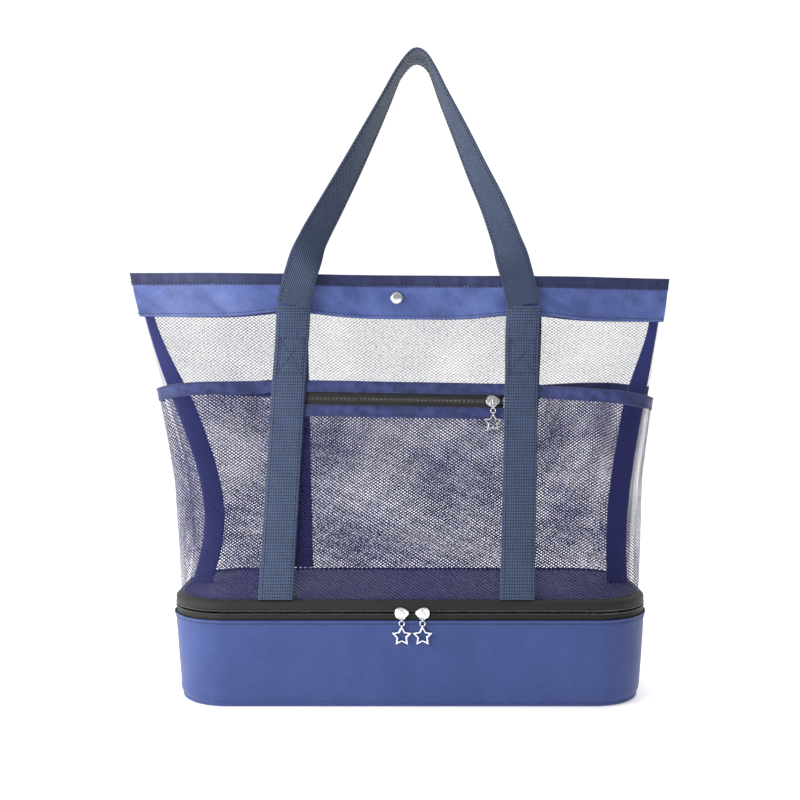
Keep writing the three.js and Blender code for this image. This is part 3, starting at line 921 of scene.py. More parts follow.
def bent_grid(
    across: int, up: int, size: tuple[float, float], place: Place, closed: bool = False
) -> bmesh.types.BMesh:
    """Return a grid of cloth bent by a function.

    Args:
        across: cells across.
        up: cells up.
        size: the cloth's flat width and height, which its UV map keeps.
        place: gives the point at a share across and a share up, both from 0 to 1.
        closed: join the first column to the last.

    Returns:
        The shape, in millimetres.
    """
    bm = bmesh.new()
    uv = bm.loops.layers.uv.new("UVMap")
    bmesh.ops.create_grid(bm, x_segments=across, y_segments=up, size=0.5)
    shares = {v: (v.co.x + 0.5, v.co.y + 0.5) for v in bm.verts}
    for face in bm.faces:
        for loop in face.loops:
            u, v = shares[loop.vert]
            loop[uv].uv = (u * size[0], v * size[1])
    for vert, (u, v) in shares.items():
        vert.co = place(u, v)
    if closed:
        bmesh.ops.remove_doubles(bm, verts=bm.verts, dist=0.01)
    return bm


def sewn(
    rows: Iterable[Sequence[Vector]],
    stitch: float = 2.6,
    gap: float = 1.1,
    width: float = 0.85,
) -> bmesh.types.BMesh:
    """Return rows of stitches, each a small plump thread sunk at both ends.

    Args:
        rows: the points that each row runs through.
        stitch: the length of a stitch.
        gap: the space to the next one.
        width: the thread's width.

    Returns:
        The stitches, in millimetres.
    """
    bm = bmesh.new()
    for points in rows:
        left = 0.0
        for start, end in zip(points, points[1:]):
            run = end - start
            length = run.length
            if length < 1e-6:
                continue
            turn = run.to_track_quat("X", "Z").to_matrix().to_4x4()
            while left < length:
                middle = start + run * (left / length)
                place = Matrix.Translation(middle) @ turn
                place = place @ Matrix.Diagonal((stitch, width, width, 1.0))
                bmesh.ops.create_icosphere(bm, subdivisions=1, radius=0.5, matrix=place)
                left += stitch + gap
            left -= length
    return bm


def path(count: int, at: Callable[[float], Vector]) -> list[Vector]:
    """Return count + 1 points of a curve that is given by a share from 0 to 1."""
    return [at(i / count) for i in range(count + 1)]


# ------------------------------------------------------------------ cooler base


@dataclass
class CoolerBase(Maker):
    """The insulated lower part: wall, piping, underside, lining and the lower half zip."""

    body: str = "cooler"
    foot: float = 3.2
    tuck: float = 2.2
    puff: float = 1.0
    fold: float = 1.1
    fold_z: float = 81.2
    seam_z: float = 78.9
    tape: tuple[float, float] = (81.2, 87.0)
    coil: tuple[float, float] = (86.4, 88.4)
    pipe_middle: tuple[float, float] = (8.6, 2.35)
    pipe_radii: tuple[float, float] = (2.1, 2.2)
    strip: tuple[float, float] = (77.5, 98.5)
    strip_cut: float = 23

    def wall_point(self, share: float, up: float) -> Vector:
        """Return a point of the wall, from its turned-under foot to its folded top.

        Args:
            share: the share of the girth.
            up: the share of the height.

        Returns:
            The point.
        """
        z = lerp(self.foot, COOLER.wall_top, up)
        turned = self.tuck * (1 - ease(z, 2.0, 12.0)) ** 2
        inset = COOLER.inset_at(z)
        inset += turned - self.puff * math.sin(math.pi * up) ** 0.8
        at = COOLER.point(share, inset, z)
        out = (COOLER.point(share, inset - 1, z) - at).normalized()
        calm = (1 - ease(z, 74, 81)) * ease(z, 3, 22)
        dent = 1.5 * ripple(at, 105, 1) + 0.6 * ripple(at, 38, 2) - 0.9
        pucker = 0.35 * ripple(at, 9, 3) * ease(z, 70, 79)
        lift = self.fold * math.exp(-(((z - self.fold_z) / 1.3) ** 2))
        pinch = -0.5 * math.exp(-(((z - self.seam_z) / 0.9) ** 2))
        return at + out * (dent * calm + pucker + lift * 0.6 + pinch)

    def wall(self) -> None:
        """Make the outer wall with its folded top and its row of stitches."""
        rows = [0, 0.02, 0.05, 0.09] + [0.09 + 0.81 * i / 26 for i in range(1, 27)]
        rows += [0.9 + 0.1 * i / 14 for i in range(1, 15)]

        def place(u: float, v: float) -> Vector:
            """Return a point of the wall, with its rows close together at foot and top."""
            return self.wall_point(u, read(rows, v))

        bm = bent_grid(360, len(rows) - 1, (COOLER.girth, 80), place, closed=True)
        wall = self.finish("cooler_wall_cloth", bm, BASE_CLOTH, ["cooler_wall"], thick=1.0)
        up = (self.seam_z - self.foot) / (COOLER.wall_top - self.foot)
        line = path(340, lambda s: self.proud(s, up, 0.6))
        self.finish("cooler_wall_stitches", sewn([line], width=1.15), THREAD)

    def proud(self, share: float, up: float, out: float) -> Vector:
        """Return a point that stands off the wall's middle surface.

        Args:
            share: the share of the girth.
            up: the share of the height.
            out: how far it stands off.

        Returns:
            The point.
        """
        at = self.wall_point(share, up)
        side = self.wall_point(share + 0.002, up) - self.wall_point(share - 0.002, up)
        rise = self.wall_point(share, min(1, up + 0.01)) - self.wall_point(share, up - 0.01)
        return at + side.cross(rise).normalized() * out

    def piping(self) -> None:
        """Make the bound edge that the base stands on."""

        def place(u: float, v: float) -> Vector:
            """Return a point of the round edge, a share of the way about it.

            Args:
                u: the share across.
                v: the share up.

            Returns:
                The point.
            """
            angle = -2 * math.pi * v
            inset = self.pipe_middle[0] + self.pipe_radii[0] * math.cos(angle)
            z = self.pipe_middle[1] + self.pipe_radii[1] * math.sin(angle)
            return COOLER.point(u, inset, z)

        bm = bent_grid(220, 10, (COOLER.girth, 14), place, closed=True)
        self.finish("bottom_edge_binding", bm, BASE_CLOTH, ["bottom_piping"])

    def zip_half(self) -> None:
        """Make the lower tape and its coil, open at the rear."""
        gap = COOLER.hinge_half / COOLER.girth

        def place(u: float, v: float) -> Vector:
            """Return a point of the upright tape."""
            return COOLER.point(lerp(gap, 1 - gap, u), 1.2, lerp(*self.tape, v))

        tape = bent_grid(260, 3, COOLER.zip_size, place)
        self.finish("lower_zip_tape_cloth", tape, ZIP_TAPE, ["lower_zip_tape"], thick=0.8)
        coil = bent_grid(700, 5, COOLER.zip_size, self.bead(*self.coil, gap))
        self.finish("lower_zip_coil_turns", coil, ZIP_COIL, ["lower_zip_coil"])

    @staticmethod
    def bead(low: float, high: float, gap: float) -> Place:
        """Return the rounded face of a zip's coil between two heights.

        Args:
            low: the coil's lowest height.
            high: its highest.
            gap: the share of the girth at each end that has no zip.

        Returns:
            The function that places the face's points.
        """

        def place(u: float, v: float) -> Vector:
            """Return a point of the coil's round face.

            Args:
                u: the share across.
                v: the share up.

            Returns:
                The point.
            """
            angle = math.pi * (v - 0.5)
            z = lerp(low, high, 0.5 + 0.5 * math.sin(angle))
            return COOLER.point(lerp(gap, 1 - gap, u), 1.0 - 0.75 * math.cos(angle), z)

        return place

    def hinge(self) -> None:
        """Make the strip of cloth that joins the tote to the cooler at the rear."""
        half = COOLER.hinge_half + 4

        def place(u: float, v: float) -> Vector:
            """Return a point of the strip, which leans in at the tote's foot.

            Args:
                u: the share across.
                v: the share up.

            Returns:
                The point.
            """
            z = lerp(*self.strip, v)
            lean = 6.0 * ease(z, 95, 99)
            bow = 0.5 * math.sin(math.pi * v)
            return Vector((lerp(half, -half, u), COOLER.depth / 2 + 0.9 + bow - lean, z))

        bm = bent_grid(60, 12, (2 * half, 21), place)
        strip = self.finish(
            "rear_hinge_cloth", bm, BINDING_CLOTH, ["rear_hinge_strip"], thick=1.0, ride=False
        )
        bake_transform(strip)

    def hidden(self, nodes: dict[str, bpy.types.Object]) -> None:
        """Dress the pieces that keep their CAD shape.

        Args:
            nodes: the frame's objects by name.
        """
        for node, finish in (
            ("bottom_panel", UNDERSIDE_PAINTED_SHADE_CLOTH),
            ("floor_foam", FOAM),
            ("wall_foam", FOAM),
            ("foil_lining", FOIL),
            ("lid_foam", FOAM),
            ("lid_foil", FOIL),
        ):
            nodes[node].data.materials.clear()
            nodes[node].data.materials.append(Finishes.get(finish))

    def build(self, nodes: dict[str, bpy.types.Object]) -> None:
        """Make every piece of the cooler.

        Args:
            nodes: the frame's objects by name.
        """
        self.wall()
        self.piping()
        self.zip_half()
        self.hinge()
        self.hidden(nodes)


# ------------------------------------------------------------------ tote


@dataclass
class ToteBody(Maker):
    """The net tote: its floor, upper half zip, nets, seam ribbons, band and rim."""

    body: str = "tote"
    strap_x: tuple[float, float] = (-112.5, 109.5)
    tug: float = 6.0
    coil: tuple[float, float] = (89.6, 91.6)
    tape_heights: tuple[float, ...] = (91.0, 93.6, 96.4, 98.4, 99.6, 100.2)
    tape_insets: tuple[float, ...] = (1.2, 1.0, 1.0, 2.6, 5.6, 9.2)
    lid_z: float = 97.6
    mouth_edge: float = 0.984
    panel_edge: float = 0.996
    net_cut: tuple[float, float] = (545, 270)
    ribbon_cut: tuple[float, float] = (20, 270)

    def floor(self) -> None:
        """Make the navy floor, gathered from its outline in to a spine."""

        def place(u: float, v: float) -> Vector:
            """Return a point of the floor, a share of the way in to its spine.

            Args:
                u: the share across.
                v: the share up.

            Returns:
                The point.
            """
            at = COOLER.point(u, 4.0, self.lid_z)
            at = Vector((at.x * lerp(1.0, 0.82, v), at.y * (1 - v), at.z))
            at.z += (0.9 * ripple(at, 60, 4) + 0.5) * ease(v, 0.0, 0.12)
            return at

        bm = bent_grid(200, 14, (COOLER.girth, 80), place, closed=True)
        bmesh.ops.dissolve_degenerate(bm, edges=bm.edges, dist=0.01)
        self.finish("tote_floor_cloth", bm, FLOOR_CLOTH, ["tote_floor"], thick=1.0)

    def zip_half(self) -> None:
        """Make the upper coil and the tape that slopes in to the foot of the net."""
        gap = COOLER.hinge_half / COOLER.girth
        coil = bent_grid(700, 5, COOLER.zip_size, CoolerBase.bead(*self.coil, gap))
        self.finish("upper_zip_coil_turns", coil, ZIP_COIL, ["upper_zip_coil"])

        def place(u: float, v: float) -> Vector:
            """Return a point of the tape, which turns in over the cooler's lid.

            Args:
                u: the share across.
                v: the share up.

            Returns:
                The point.
            """
            z = read(self.tape_heights, v)
            pucker = 0.25 * ripple(Vector((u * 900, z, 0)), 14, 5)
            return COOLER.point(u, read(self.tape_insets, v) + pucker, z)

        bm = bent_grid(300, 10, (COOLER.girth, 14), place, closed=True)
        self.finish("upper_zip_tape_cloth", bm, ZIP_TAPE, ["upper_zip_tape"], thick=0.9)

    def panels(self) -> None:
        """Make the front and rear nets, which wrap round to the side seams."""
        for rear, name, node, seed in (
            (False, "front_net", "front_mesh_panel", 6),
            (True, "rear_net", "rear_mesh_panel", 7),
        ):

            def place(u: float, v: float) -> Vector:
                """Return a point of the net, slack in the middle and held at its edges.

                Args:
                    u: the share across.
                    v: the share up.

                Returns:
                    The point.
                """
                f = lerp(-self.panel_edge, self.panel_edge, u)
                z = lerp(TOTE.foot + 0.6, TOTE.band_low + 9, v)
                at = TOTE.point(f, z)
                calm = ease(z, TOTE.foot, TOTE.foot + 30) * (1 - ease(z, 340, 362))
                wave = 1.1 * ripple(at, 70, seed) + 0.45 * ripple(at, 24, seed + 9)
                return TOTE.off(f, z, -0.4 + 0.9 * wave * calm * (1 - ease(abs(f), 0.9, 1.0)))

            bm = bent_grid(150, 70, (-535 if rear else 535, 270), place)
            net = self.finish(name, bm, PANEL_NET, [node], rear=rear)

    def ribbons(self) -> None:
        """Make the ribbons that bind the side seams inside the pleats."""
        for side, name in ((-1, "left_seam"), (1, "right_seam")):

            def place(u: float, v: float) -> Vector:
                """Return a point of the ribbon, which lies in the plane of the side seam.

                Args:
                    u: the share across.
                    v: the share up.

                Returns:
                    The point.
                """
                z = lerp(TOTE.foot + 1, TOTE.band_low + 4, v)
                width = lerp(20, 9, ease(z, 270, TOTE.band_low))
                seam = TOTE.point(side, z)
                inward = 1.4 + width * (u if side < 0 else 1 - u)
                y = 0.5 * ripple(seam, 30, 8)
                return Vector((seam.x - side * inward, y, seam.z))

            bm = bent_grid(8, 70, (20, 264), place)
            ribbon = self.finish(
                f"{name}_ribbon_cloth", bm, RIBBON_CLOTH, [f"{name}_ribbon"], thick=0.9
            )

    def band_point(self, f: float, up: float, out: float) -> Vector:
        """Return a point of the band, whose lower edge is drawn up under each strap.

        Args:
            f: the share of the way round.
            up: the share of the height.
            out: how far it stands off the cloth.

        Returns:
            The point.
        """
        x = f * 262 - 9
        drawn = sum(self.tug * math.exp(-(((x - s) / 42) ** 2)) for s in self.strap_x)
        low = TOTE.band_low + drawn - 1.5
        z = lerp(low, TOTE.binding_low + 3, up)
        at = TOTE.point(f, z, TOTE.overhang)
        crease = 2.6 * abs(ripple(Vector((at.x + 1.3 * at.z, 0, at.z * 0.5)), 34, 10)) ** 0.7
        crease += 1.1 * ripple(Vector((at.x * 0.6 - 1.6 * at.z, 0, at.z)), 15, 11) - 1.4
        calm = math.sin(math.pi * clamp(up)) ** 0.5
        return TOTE.off(f, z, out + 0.8 * crease * calm, TOTE.overhang)

    def binding_point(self, f: float, up: float, out: float) -> Vector:
        """Return a point of the rim binding, with the small puckers of its sewing.

        Args:
            f: the share of the way round.
            up: the share of the height.
            out: how far it stands off the cloth.

        Returns:
            The point.
        """
        z = lerp(TOTE.binding_low, TOTE.rim, up)
        at = TOTE.point(f, z, TOTE.overhang)
        pucker = 0.6 * ripple(Vector((at.x, 0, at.z * 0.4)), 8, 12) + 0.7 * ripple(at, 34, 13)
        return TOTE.off(f, z + 0.5 * ripple(at, 55, 14), out + pucker * 0.8, TOTE.overhang)

    def mouth(self) -> None:
        """Make the deep band and the folded binding along both sides of the mouth."""

        def band(u: float, v: float, out: float = 0.0) -> Vector:
            """Return a point of the band, a share of the way across and up."""
            return self.band_point(lerp(-self.mouth_edge, self.mouth_edge, u), v, out)

        def binding(u: float, v: float, out: float = 0.0) -> Vector:
            """Return a point of the binding, a share of the way across and up."""
            return self.binding_point(lerp(-self.mouth_edge, self.mouth_edge, u), v, out)

        rows = [
            path(220, lambda s: band(s, 0.085, 1.25)),
            path(220, lambda s: band(s, 0.90, 1.25)),
            path(220, lambda s: binding(s, 0.17, 1.75)),
        ]
        for rear, side in ((False, "front"), (True, "rear")):
            for name, node, cloth, grid, flat, rests_on, build in (
                ("band_cloth", "band", BAND_CLOTH, bent_grid(230, 12, (530, 34), band),
                 (515, 33), "net", (2.0, 0.7, 3)),
                ("rim_fold", "rim_binding", BINDING_CLOTH, bent_grid(260, 5, (530, 11), binding),
                 (520, 11), "band_cloth", (3.0, 1.3, 4)),
            ):
                piece = self.finish(
                    f"{side}_{name}", grid, cloth, [f"{side}_{node}"], *build, rear=rear
                )
            self.finish(f"{side}_mouth_stitches", sewn(rows), THREAD, rear=rear)

    def build(self) -> None:
        """Make every piece of the tote but its pockets, straps and stud."""
        self.floor()
        self.zip_half()
        self.panels()
        self.ribbons()
        self.mouth()


# ------------------------------------------------------------------ pockets


@dataclass
class Pockets(Maker):
    """The front slip pockets, the zipped centre pocket and the rear slip pocket."""

    body: str = "tote"
    top: float = 299
    hem: float = 12.5
    stand: float = 2.9
    slope: float = 0.018
    droop: float = 11
    gape: float = 9
    edge: float = 0.965
    strap_spacing: float = 222
    strap_width: float = 32
    rear_spacing: float = 234
    rear_top: float = 295
    slip_cut: tuple[float, float] = (150, 190)
    centre_cut: tuple[float, float] = (222, 175)
    rear_cut: tuple[float, float] = (520, 190)
    centre_hem: float = 11
    hem_gap: float = 0.3
    tape: float = 3
    tape_shown: float = 1.9
    coil_half: float = 0.8

    @property
    def zip_drop(self) -> float:
        """How far the pocket's zip runs below its top edge."""
        return self.centre_hem + self.hem_gap + self.tape + (self.tape_shown + self.coil_half)

    def hem_piece(
        self,
        name: str,
        node: str,
        bm: bmesh.types.BMesh,
        flat: tuple[float, float],
        rests_on: str,
        rows: Iterable[Sequence[Vector]],
        rear: bool = False,
    ) -> None:
        """Make a folded hem and its rows of stitches.

        Args:
            name: what the two pieces' names start with.
            node: the CAD node that the hem stands for.
            bm: the hem's middle surface.
            flat: its width and height as cut; not used.
            rests_on: the piece that it is sewn to; not used.
            rows: the points that each row of stitches runs through.
            rear: mirror both from front to rear.
        """
        fold = self.finish(f"{name}_fold", bm, HEM_CLOTH, [node], 1.8, 0.7, 3, rear=rear)
        self.finish(f"{name}_stitches", sewn(rows), THREAD, rear=rear)

    def strap_x(self, side: int, z: float) -> float:
        """Return the middle of a front strap at a height."""
        t = clamp((z - TOTE.foot) / (TOTE.rim - 30 - TOTE.foot))
        return lerp(-13, -1.5, t) + side * self.strap_spacing / 2

    def top_at(self, f: float) -> float:
        """Return the height of the front pockets' top edge."""
        past = clamp((abs(f) - 0.47) / 0.53)
        return self.top - self.slope * f * TOTE.level(self.top)[4] - self.droop * past

    def slip_out(self, f: float, z: float) -> float:
        """Return how far a front slip pocket stands off the panel.

        Args:
            f: the share of the way round.
            z: the height on the cloth.

        Returns:
            The distance.
        """
        girth = TOTE.level(z)[4]
        first = ((self.strap_spacing + self.strap_width) / 2 + 14) / girth
        q = clamp((abs(f) - first) / (self.edge - first))
        up = clamp((z - TOTE.foot) / (self.top - self.hem - TOTE.foot))
        return self.stand + self.gape * math.sin(math.pi * q) * up**1.3

    def rear_out(self, f: float, z: float) -> float:
        """Return how far the rear pocket stands off the panel.

        Args:
            f: the share of the way round.
            z: the height on the cloth.

        Returns:
            The distance.
        """
        girth = TOTE.level(z)[4]
        strap = (self.rear_spacing - self.strap_width) / 2
        x = abs(f) * girth
        beyond = strap + self.strap_width + 10
        sides = clamp((x - beyond) / (self.edge * girth - beyond))
        middle = clamp(x / (strap - 10))
        bow = math.cos(math.pi / 2 * middle) if x < strap else math.sin(math.pi * sides)
        up = clamp((z - TOTE.foot) / (self.rear_top - self.hem - TOTE.foot))
        return self.stand + self.gape * max(0.0, bow) * up**1.3

    def slack(self, at: Vector, seed: float, up: float) -> float:
        """Return the small waves of a pocket's cloth, none at its foot."""
        wave = 1.2 * ripple(at, 60, seed) + 0.5 * ripple(at, 22, seed + 3)
        return wave * ease(up, 0.0, 0.15)

    def slip(self, side: int, name: str) -> None:
        """Make one front slip pocket: its net, its hem and the hem's stitches.

        Args:
            side: -1 for the left pocket, 1 for the right.
            name: what its pieces' names start with.
        """

        def reach(u: float, z: float) -> float:
            """Return the way round at a share across, from the outer edge to the strap.

            Args:
                u: the share across.
                z: the height.

            Returns:
                The share of the way round.
            """
            outer = side * self.edge
            inner = TOTE.round_at(self.strap_x(side, z), z)
            return lerp(outer, inner, u) if side < 0 else lerp(inner, outer, u)

        def net(u: float, v: float) -> Vector:
            """Return a point of the pocket's net.

            Args:
                u: the share across.
                v: the share up.

            Returns:
                The point.
            """
            top = self.top_at(reach(u, self.top)) - self.hem + 4
            z = lerp(TOTE.foot + 1, top, v)
            f = reach(u, z)
            loose = self.slack(TOTE.point(f, z), 20 + side, v) * math.sin(math.pi * clamp(u))
            return TOTE.off(f, z, self.slip_out(f, z) + 0.7 * loose * (1 - ease(v, 0.9, 1.0)))

        def hem(u: float, v: float, out: float = 0.0) -> Vector:
            """Return a point of the pocket's hem, or one that stands off it.

            Args:
                u: the share across.
                v: the share up.
                out: how far it stands off.

            Returns:
                The point.
            """
            top = self.top_at(reach(u, self.top))
            z = top - self.hem * (1 - v)
            f = reach(u, z)
            at = TOTE.point(f, z)
            pucker = 0.75 * ripple(at, 9, 24) + 0.7 * ripple(at, 26, 25)
            lift = 0.5 * ripple(at, 45, 26)
            return TOTE.off(f, z + lift, self.slip_out(f, self.top) + out + 0.7 * pucker)

        grid = bent_grid(60, 60, self.slip_cut, net)
        piece = self.finish(f"{name}_pocket_net", grid, POCKET_NET, [f"{name}_pocket_mesh"])
        rows = [path(60, lambda s: hem(s, v, 1.05)) for v in (0.14, 0.88)]
        flat = (self.slip_cut[0], self.hem)
        label = f"{name}_pocket_hem"
        self.hem_piece(
            label, label, bent_grid(80, 5, flat, hem), flat, f"{name}_pocket_net", rows
        )

    def centre_point(self, u: float, below: float, inner: float, out: float) -> Vector:
        """Return a point of the centre pocket, a depth below its top edge.

        Args:
            u: the share across, from one strap's middle line to the other's.
            below: the depth below the pocket's top edge.
            inner: how far each end is drawn in.
            out: how far the point stands off the pocket's cloth.

        Returns:
            The point.
        """

        def across(z: float) -> float:
            """Return the way round at that share, at a height."""
            left = TOTE.round_at(self.strap_x(-1, z) + inner, z)
            return lerp(left, TOTE.round_at(self.strap_x(1, z) - inner, z), u)

        z = self.top_at(across(self.top)) - below
        return TOTE.off(across(z), z, self.stand + out)

    def centre(self) -> None:
        """Make the zipped pocket: two hems, two tapes, two coils and the net below."""
        middle = self.zip_drop
        inner = self.strap_width / 2 + 1
        low_hem = middle + self.coil_half + self.tape_shown + self.tape + self.hem_gap

        def strip(low: float, high: float, draw: float, seed: float, out: float = 0.0) -> Place:
            """Return the function that places a strip between two depths.

            Args:
                low: the depth of its lower edge below the pocket's top.
                high: the depth of its upper edge.
                draw: how far its ends are drawn in.
                seed: the pattern of its puckers, or 0 for none.
                out: how far it stands off the pocket's cloth.

            Returns:
                The function.
            """

            def place(u: float, v: float) -> Vector:
                """Return a point of the strip.

                Args:
                    u: the share across.
                    v: the share up.

                Returns:
                    The point.
                """
                at = self.centre_point(u, lerp(low, high, v), draw, 0.0)
                calm = 0.6 * ripple(at, 26, seed) + 0.8 * ripple(at, 9, seed + 1)
                return self.centre_point(u, lerp(low, high, v), draw, out + 0.7 * calm * (seed > 0))

            return place

        flat = (self.strap_spacing, self.centre_hem)
        for name, first, seed in (("upper", 0.0, 30), ("lower", low_hem, 32)):
            last = first + self.centre_hem
            bm = bent_grid(90, 5, flat, strip(last, first, 0.3, seed))
            seam = strip(first, last, inner + 0.5, 0, 1.15)
            rows = [path(90, lambda s: seam(s, v)) for v in (0.14, 0.84)]
            label = f"centre_pocket_{name}"
            self.hem_piece(label, f"{label}_hem", bm, flat, "front_net", rows)
        for name, tape, coil in (
            ("upper", (middle - 0.15, 10.3), (middle - 0.2, middle - 2.2)),
            ("lower", (low_hem + 0.7, middle + 0.15), (middle + 2.2, middle + 0.2)),
        ):
            bm = bent_grid(40, 3, (190, 6), strip(tape[0], tape[1], inner, 0, -0.2))
            self.finish(
                f"pocket_zip_{name}_tape_cloth", bm, ZIP_TAPE, [f"pocket_zip_{name}_tape"], 0.7
            )

            def bead(u: float, v: float) -> Vector:
                """Return a point of the coil's round face.

                Args:
                    u: the share across.
                    v: the share up.

                Returns:
                    The point.
                """
                angle = math.pi * (v - 0.5)
                depth = lerp(coil[0], coil[1], 0.5 + 0.5 * math.sin(angle))
                return self.centre_point(u, depth, inner, 0.1 + 0.6 * math.cos(angle))

            bm = bent_grid(150, 4, (190, 3), bead)
            self.finish(f"pocket_zip_{name}_turns", bm, ZIP_COIL, [f"pocket_zip_{name}_coil"])

        def net(u: float, v: float) -> Vector:
            """Return a point of the pocket's net, slack between the straps.

            Args:
                u: the share across.
                v: the share up.

            Returns:
                The point.
            """

            def across(z: float) -> float:
                """Return the way round at that share, at a height.

                Args:
                    z: the height.

                Returns:
                    The share of the way round.
                """
                return lerp(
                    TOTE.round_at(self.strap_x(-1, z), z), TOTE.round_at(self.strap_x(1, z), z), u
                )

            top = self.top_at(across(self.top)) - low_hem - 7
            z = lerp(TOTE.foot + 1, top, v)
            f = across(z)
            loose = self.slack(TOTE.point(f, z), 35, v) * math.sin(math.pi * clamp(u)) ** 0.5
            slack = (0.8 * loose - 0.6) * (1 - ease(v, 0.9, 1.0))
            return TOTE.off(f, z, self.stand + slack * ease(v, 0.0, 0.1))

        grid = bent_grid(90, 60, (222, 170), net)
        piece = self.finish("centre_pocket_net", grid, POCKET_NET, ["centre_pocket_mesh"])

    def rear(self) -> None:
        """Make the rear slip pocket, which bows out between the straps."""

        def net(u: float, v: float) -> Vector:
            """Return a point of the pocket's net.

            Args:
                u: the share across.
                v: the share up.

            Returns:
                The point.
            """
            z = lerp(TOTE.foot + 1, self.rear_top - self.hem + 4, v)
            f = lerp(-self.edge, self.edge, u)
            loose = self.slack(TOTE.point(f, z), 40, v) * (1 - ease(abs(f), 0.85, 0.96))
            return TOTE.off(f, z, self.rear_out(f, z) + 0.5 * loose * (1 - ease(v, 0.9, 1.0)))

        def hem(u: float, v: float, out: float = 0.0) -> Vector:
            """Return a point of the pocket's hem, or one that stands off it.

            Args:
                u: the share across.
                v: the share up.
                out: how far it stands off.

            Returns:
                The point.
            """
            z = self.rear_top - self.hem * (1 - v)
            f = lerp(-self.edge, self.edge, u)
            at = TOTE.point(f, z)
            pucker = 0.25 * ripple(at, 7, 42) + 0.5 * ripple(at, 30, 43)
            return TOTE.off(f, z, self.rear_out(f, self.rear_top) + out + 0.7 * pucker)

        grid = bent_grid(170, 50, (-515, 185), net)
        piece = self.finish("rear_pocket_net", grid, POCKET_NET, ["rear_pocket_mesh"], rear=True)
        rows = [path(200, lambda s: hem(s, v, 1.05)) for v in (0.14, 0.88)]
        grid = bent_grid(200, 5, (515, self.hem), hem)
        label = "rear_pocket_hem"
        self.hem_piece(label, label, grid, (525, self.hem), "rear_pocket_net", rows, rear=True)

    def build(self) -> None:
        """Make every pocket."""
        for side, name in ((-1, "left"), (1, "right")):
            self.slip(side, name)
        self.centre()
        self.rear()


# ------------------------------------------------------------------ straps and handles

# The handle's middle line: shares of half its spacing across and of its rise up.
HANDLE_LINE = (
    (-1, 0), (-0.955, 0.09), (-0.84, 0.245), (-0.675, 0.39), (-0.495, 0.54), (-0.34, 0.675),
    (-0.2, 0.8), (-0.075, 0.915), (0.035, 0.982), (0.13, 0.975), (0.21, 0.915), (0.3, 0.82),
    (0.44, 0.685), (0.59, 0.535), (0.74, 0.39), (0.87, 0.225), (0.96, 0.085), (1, 0),
)


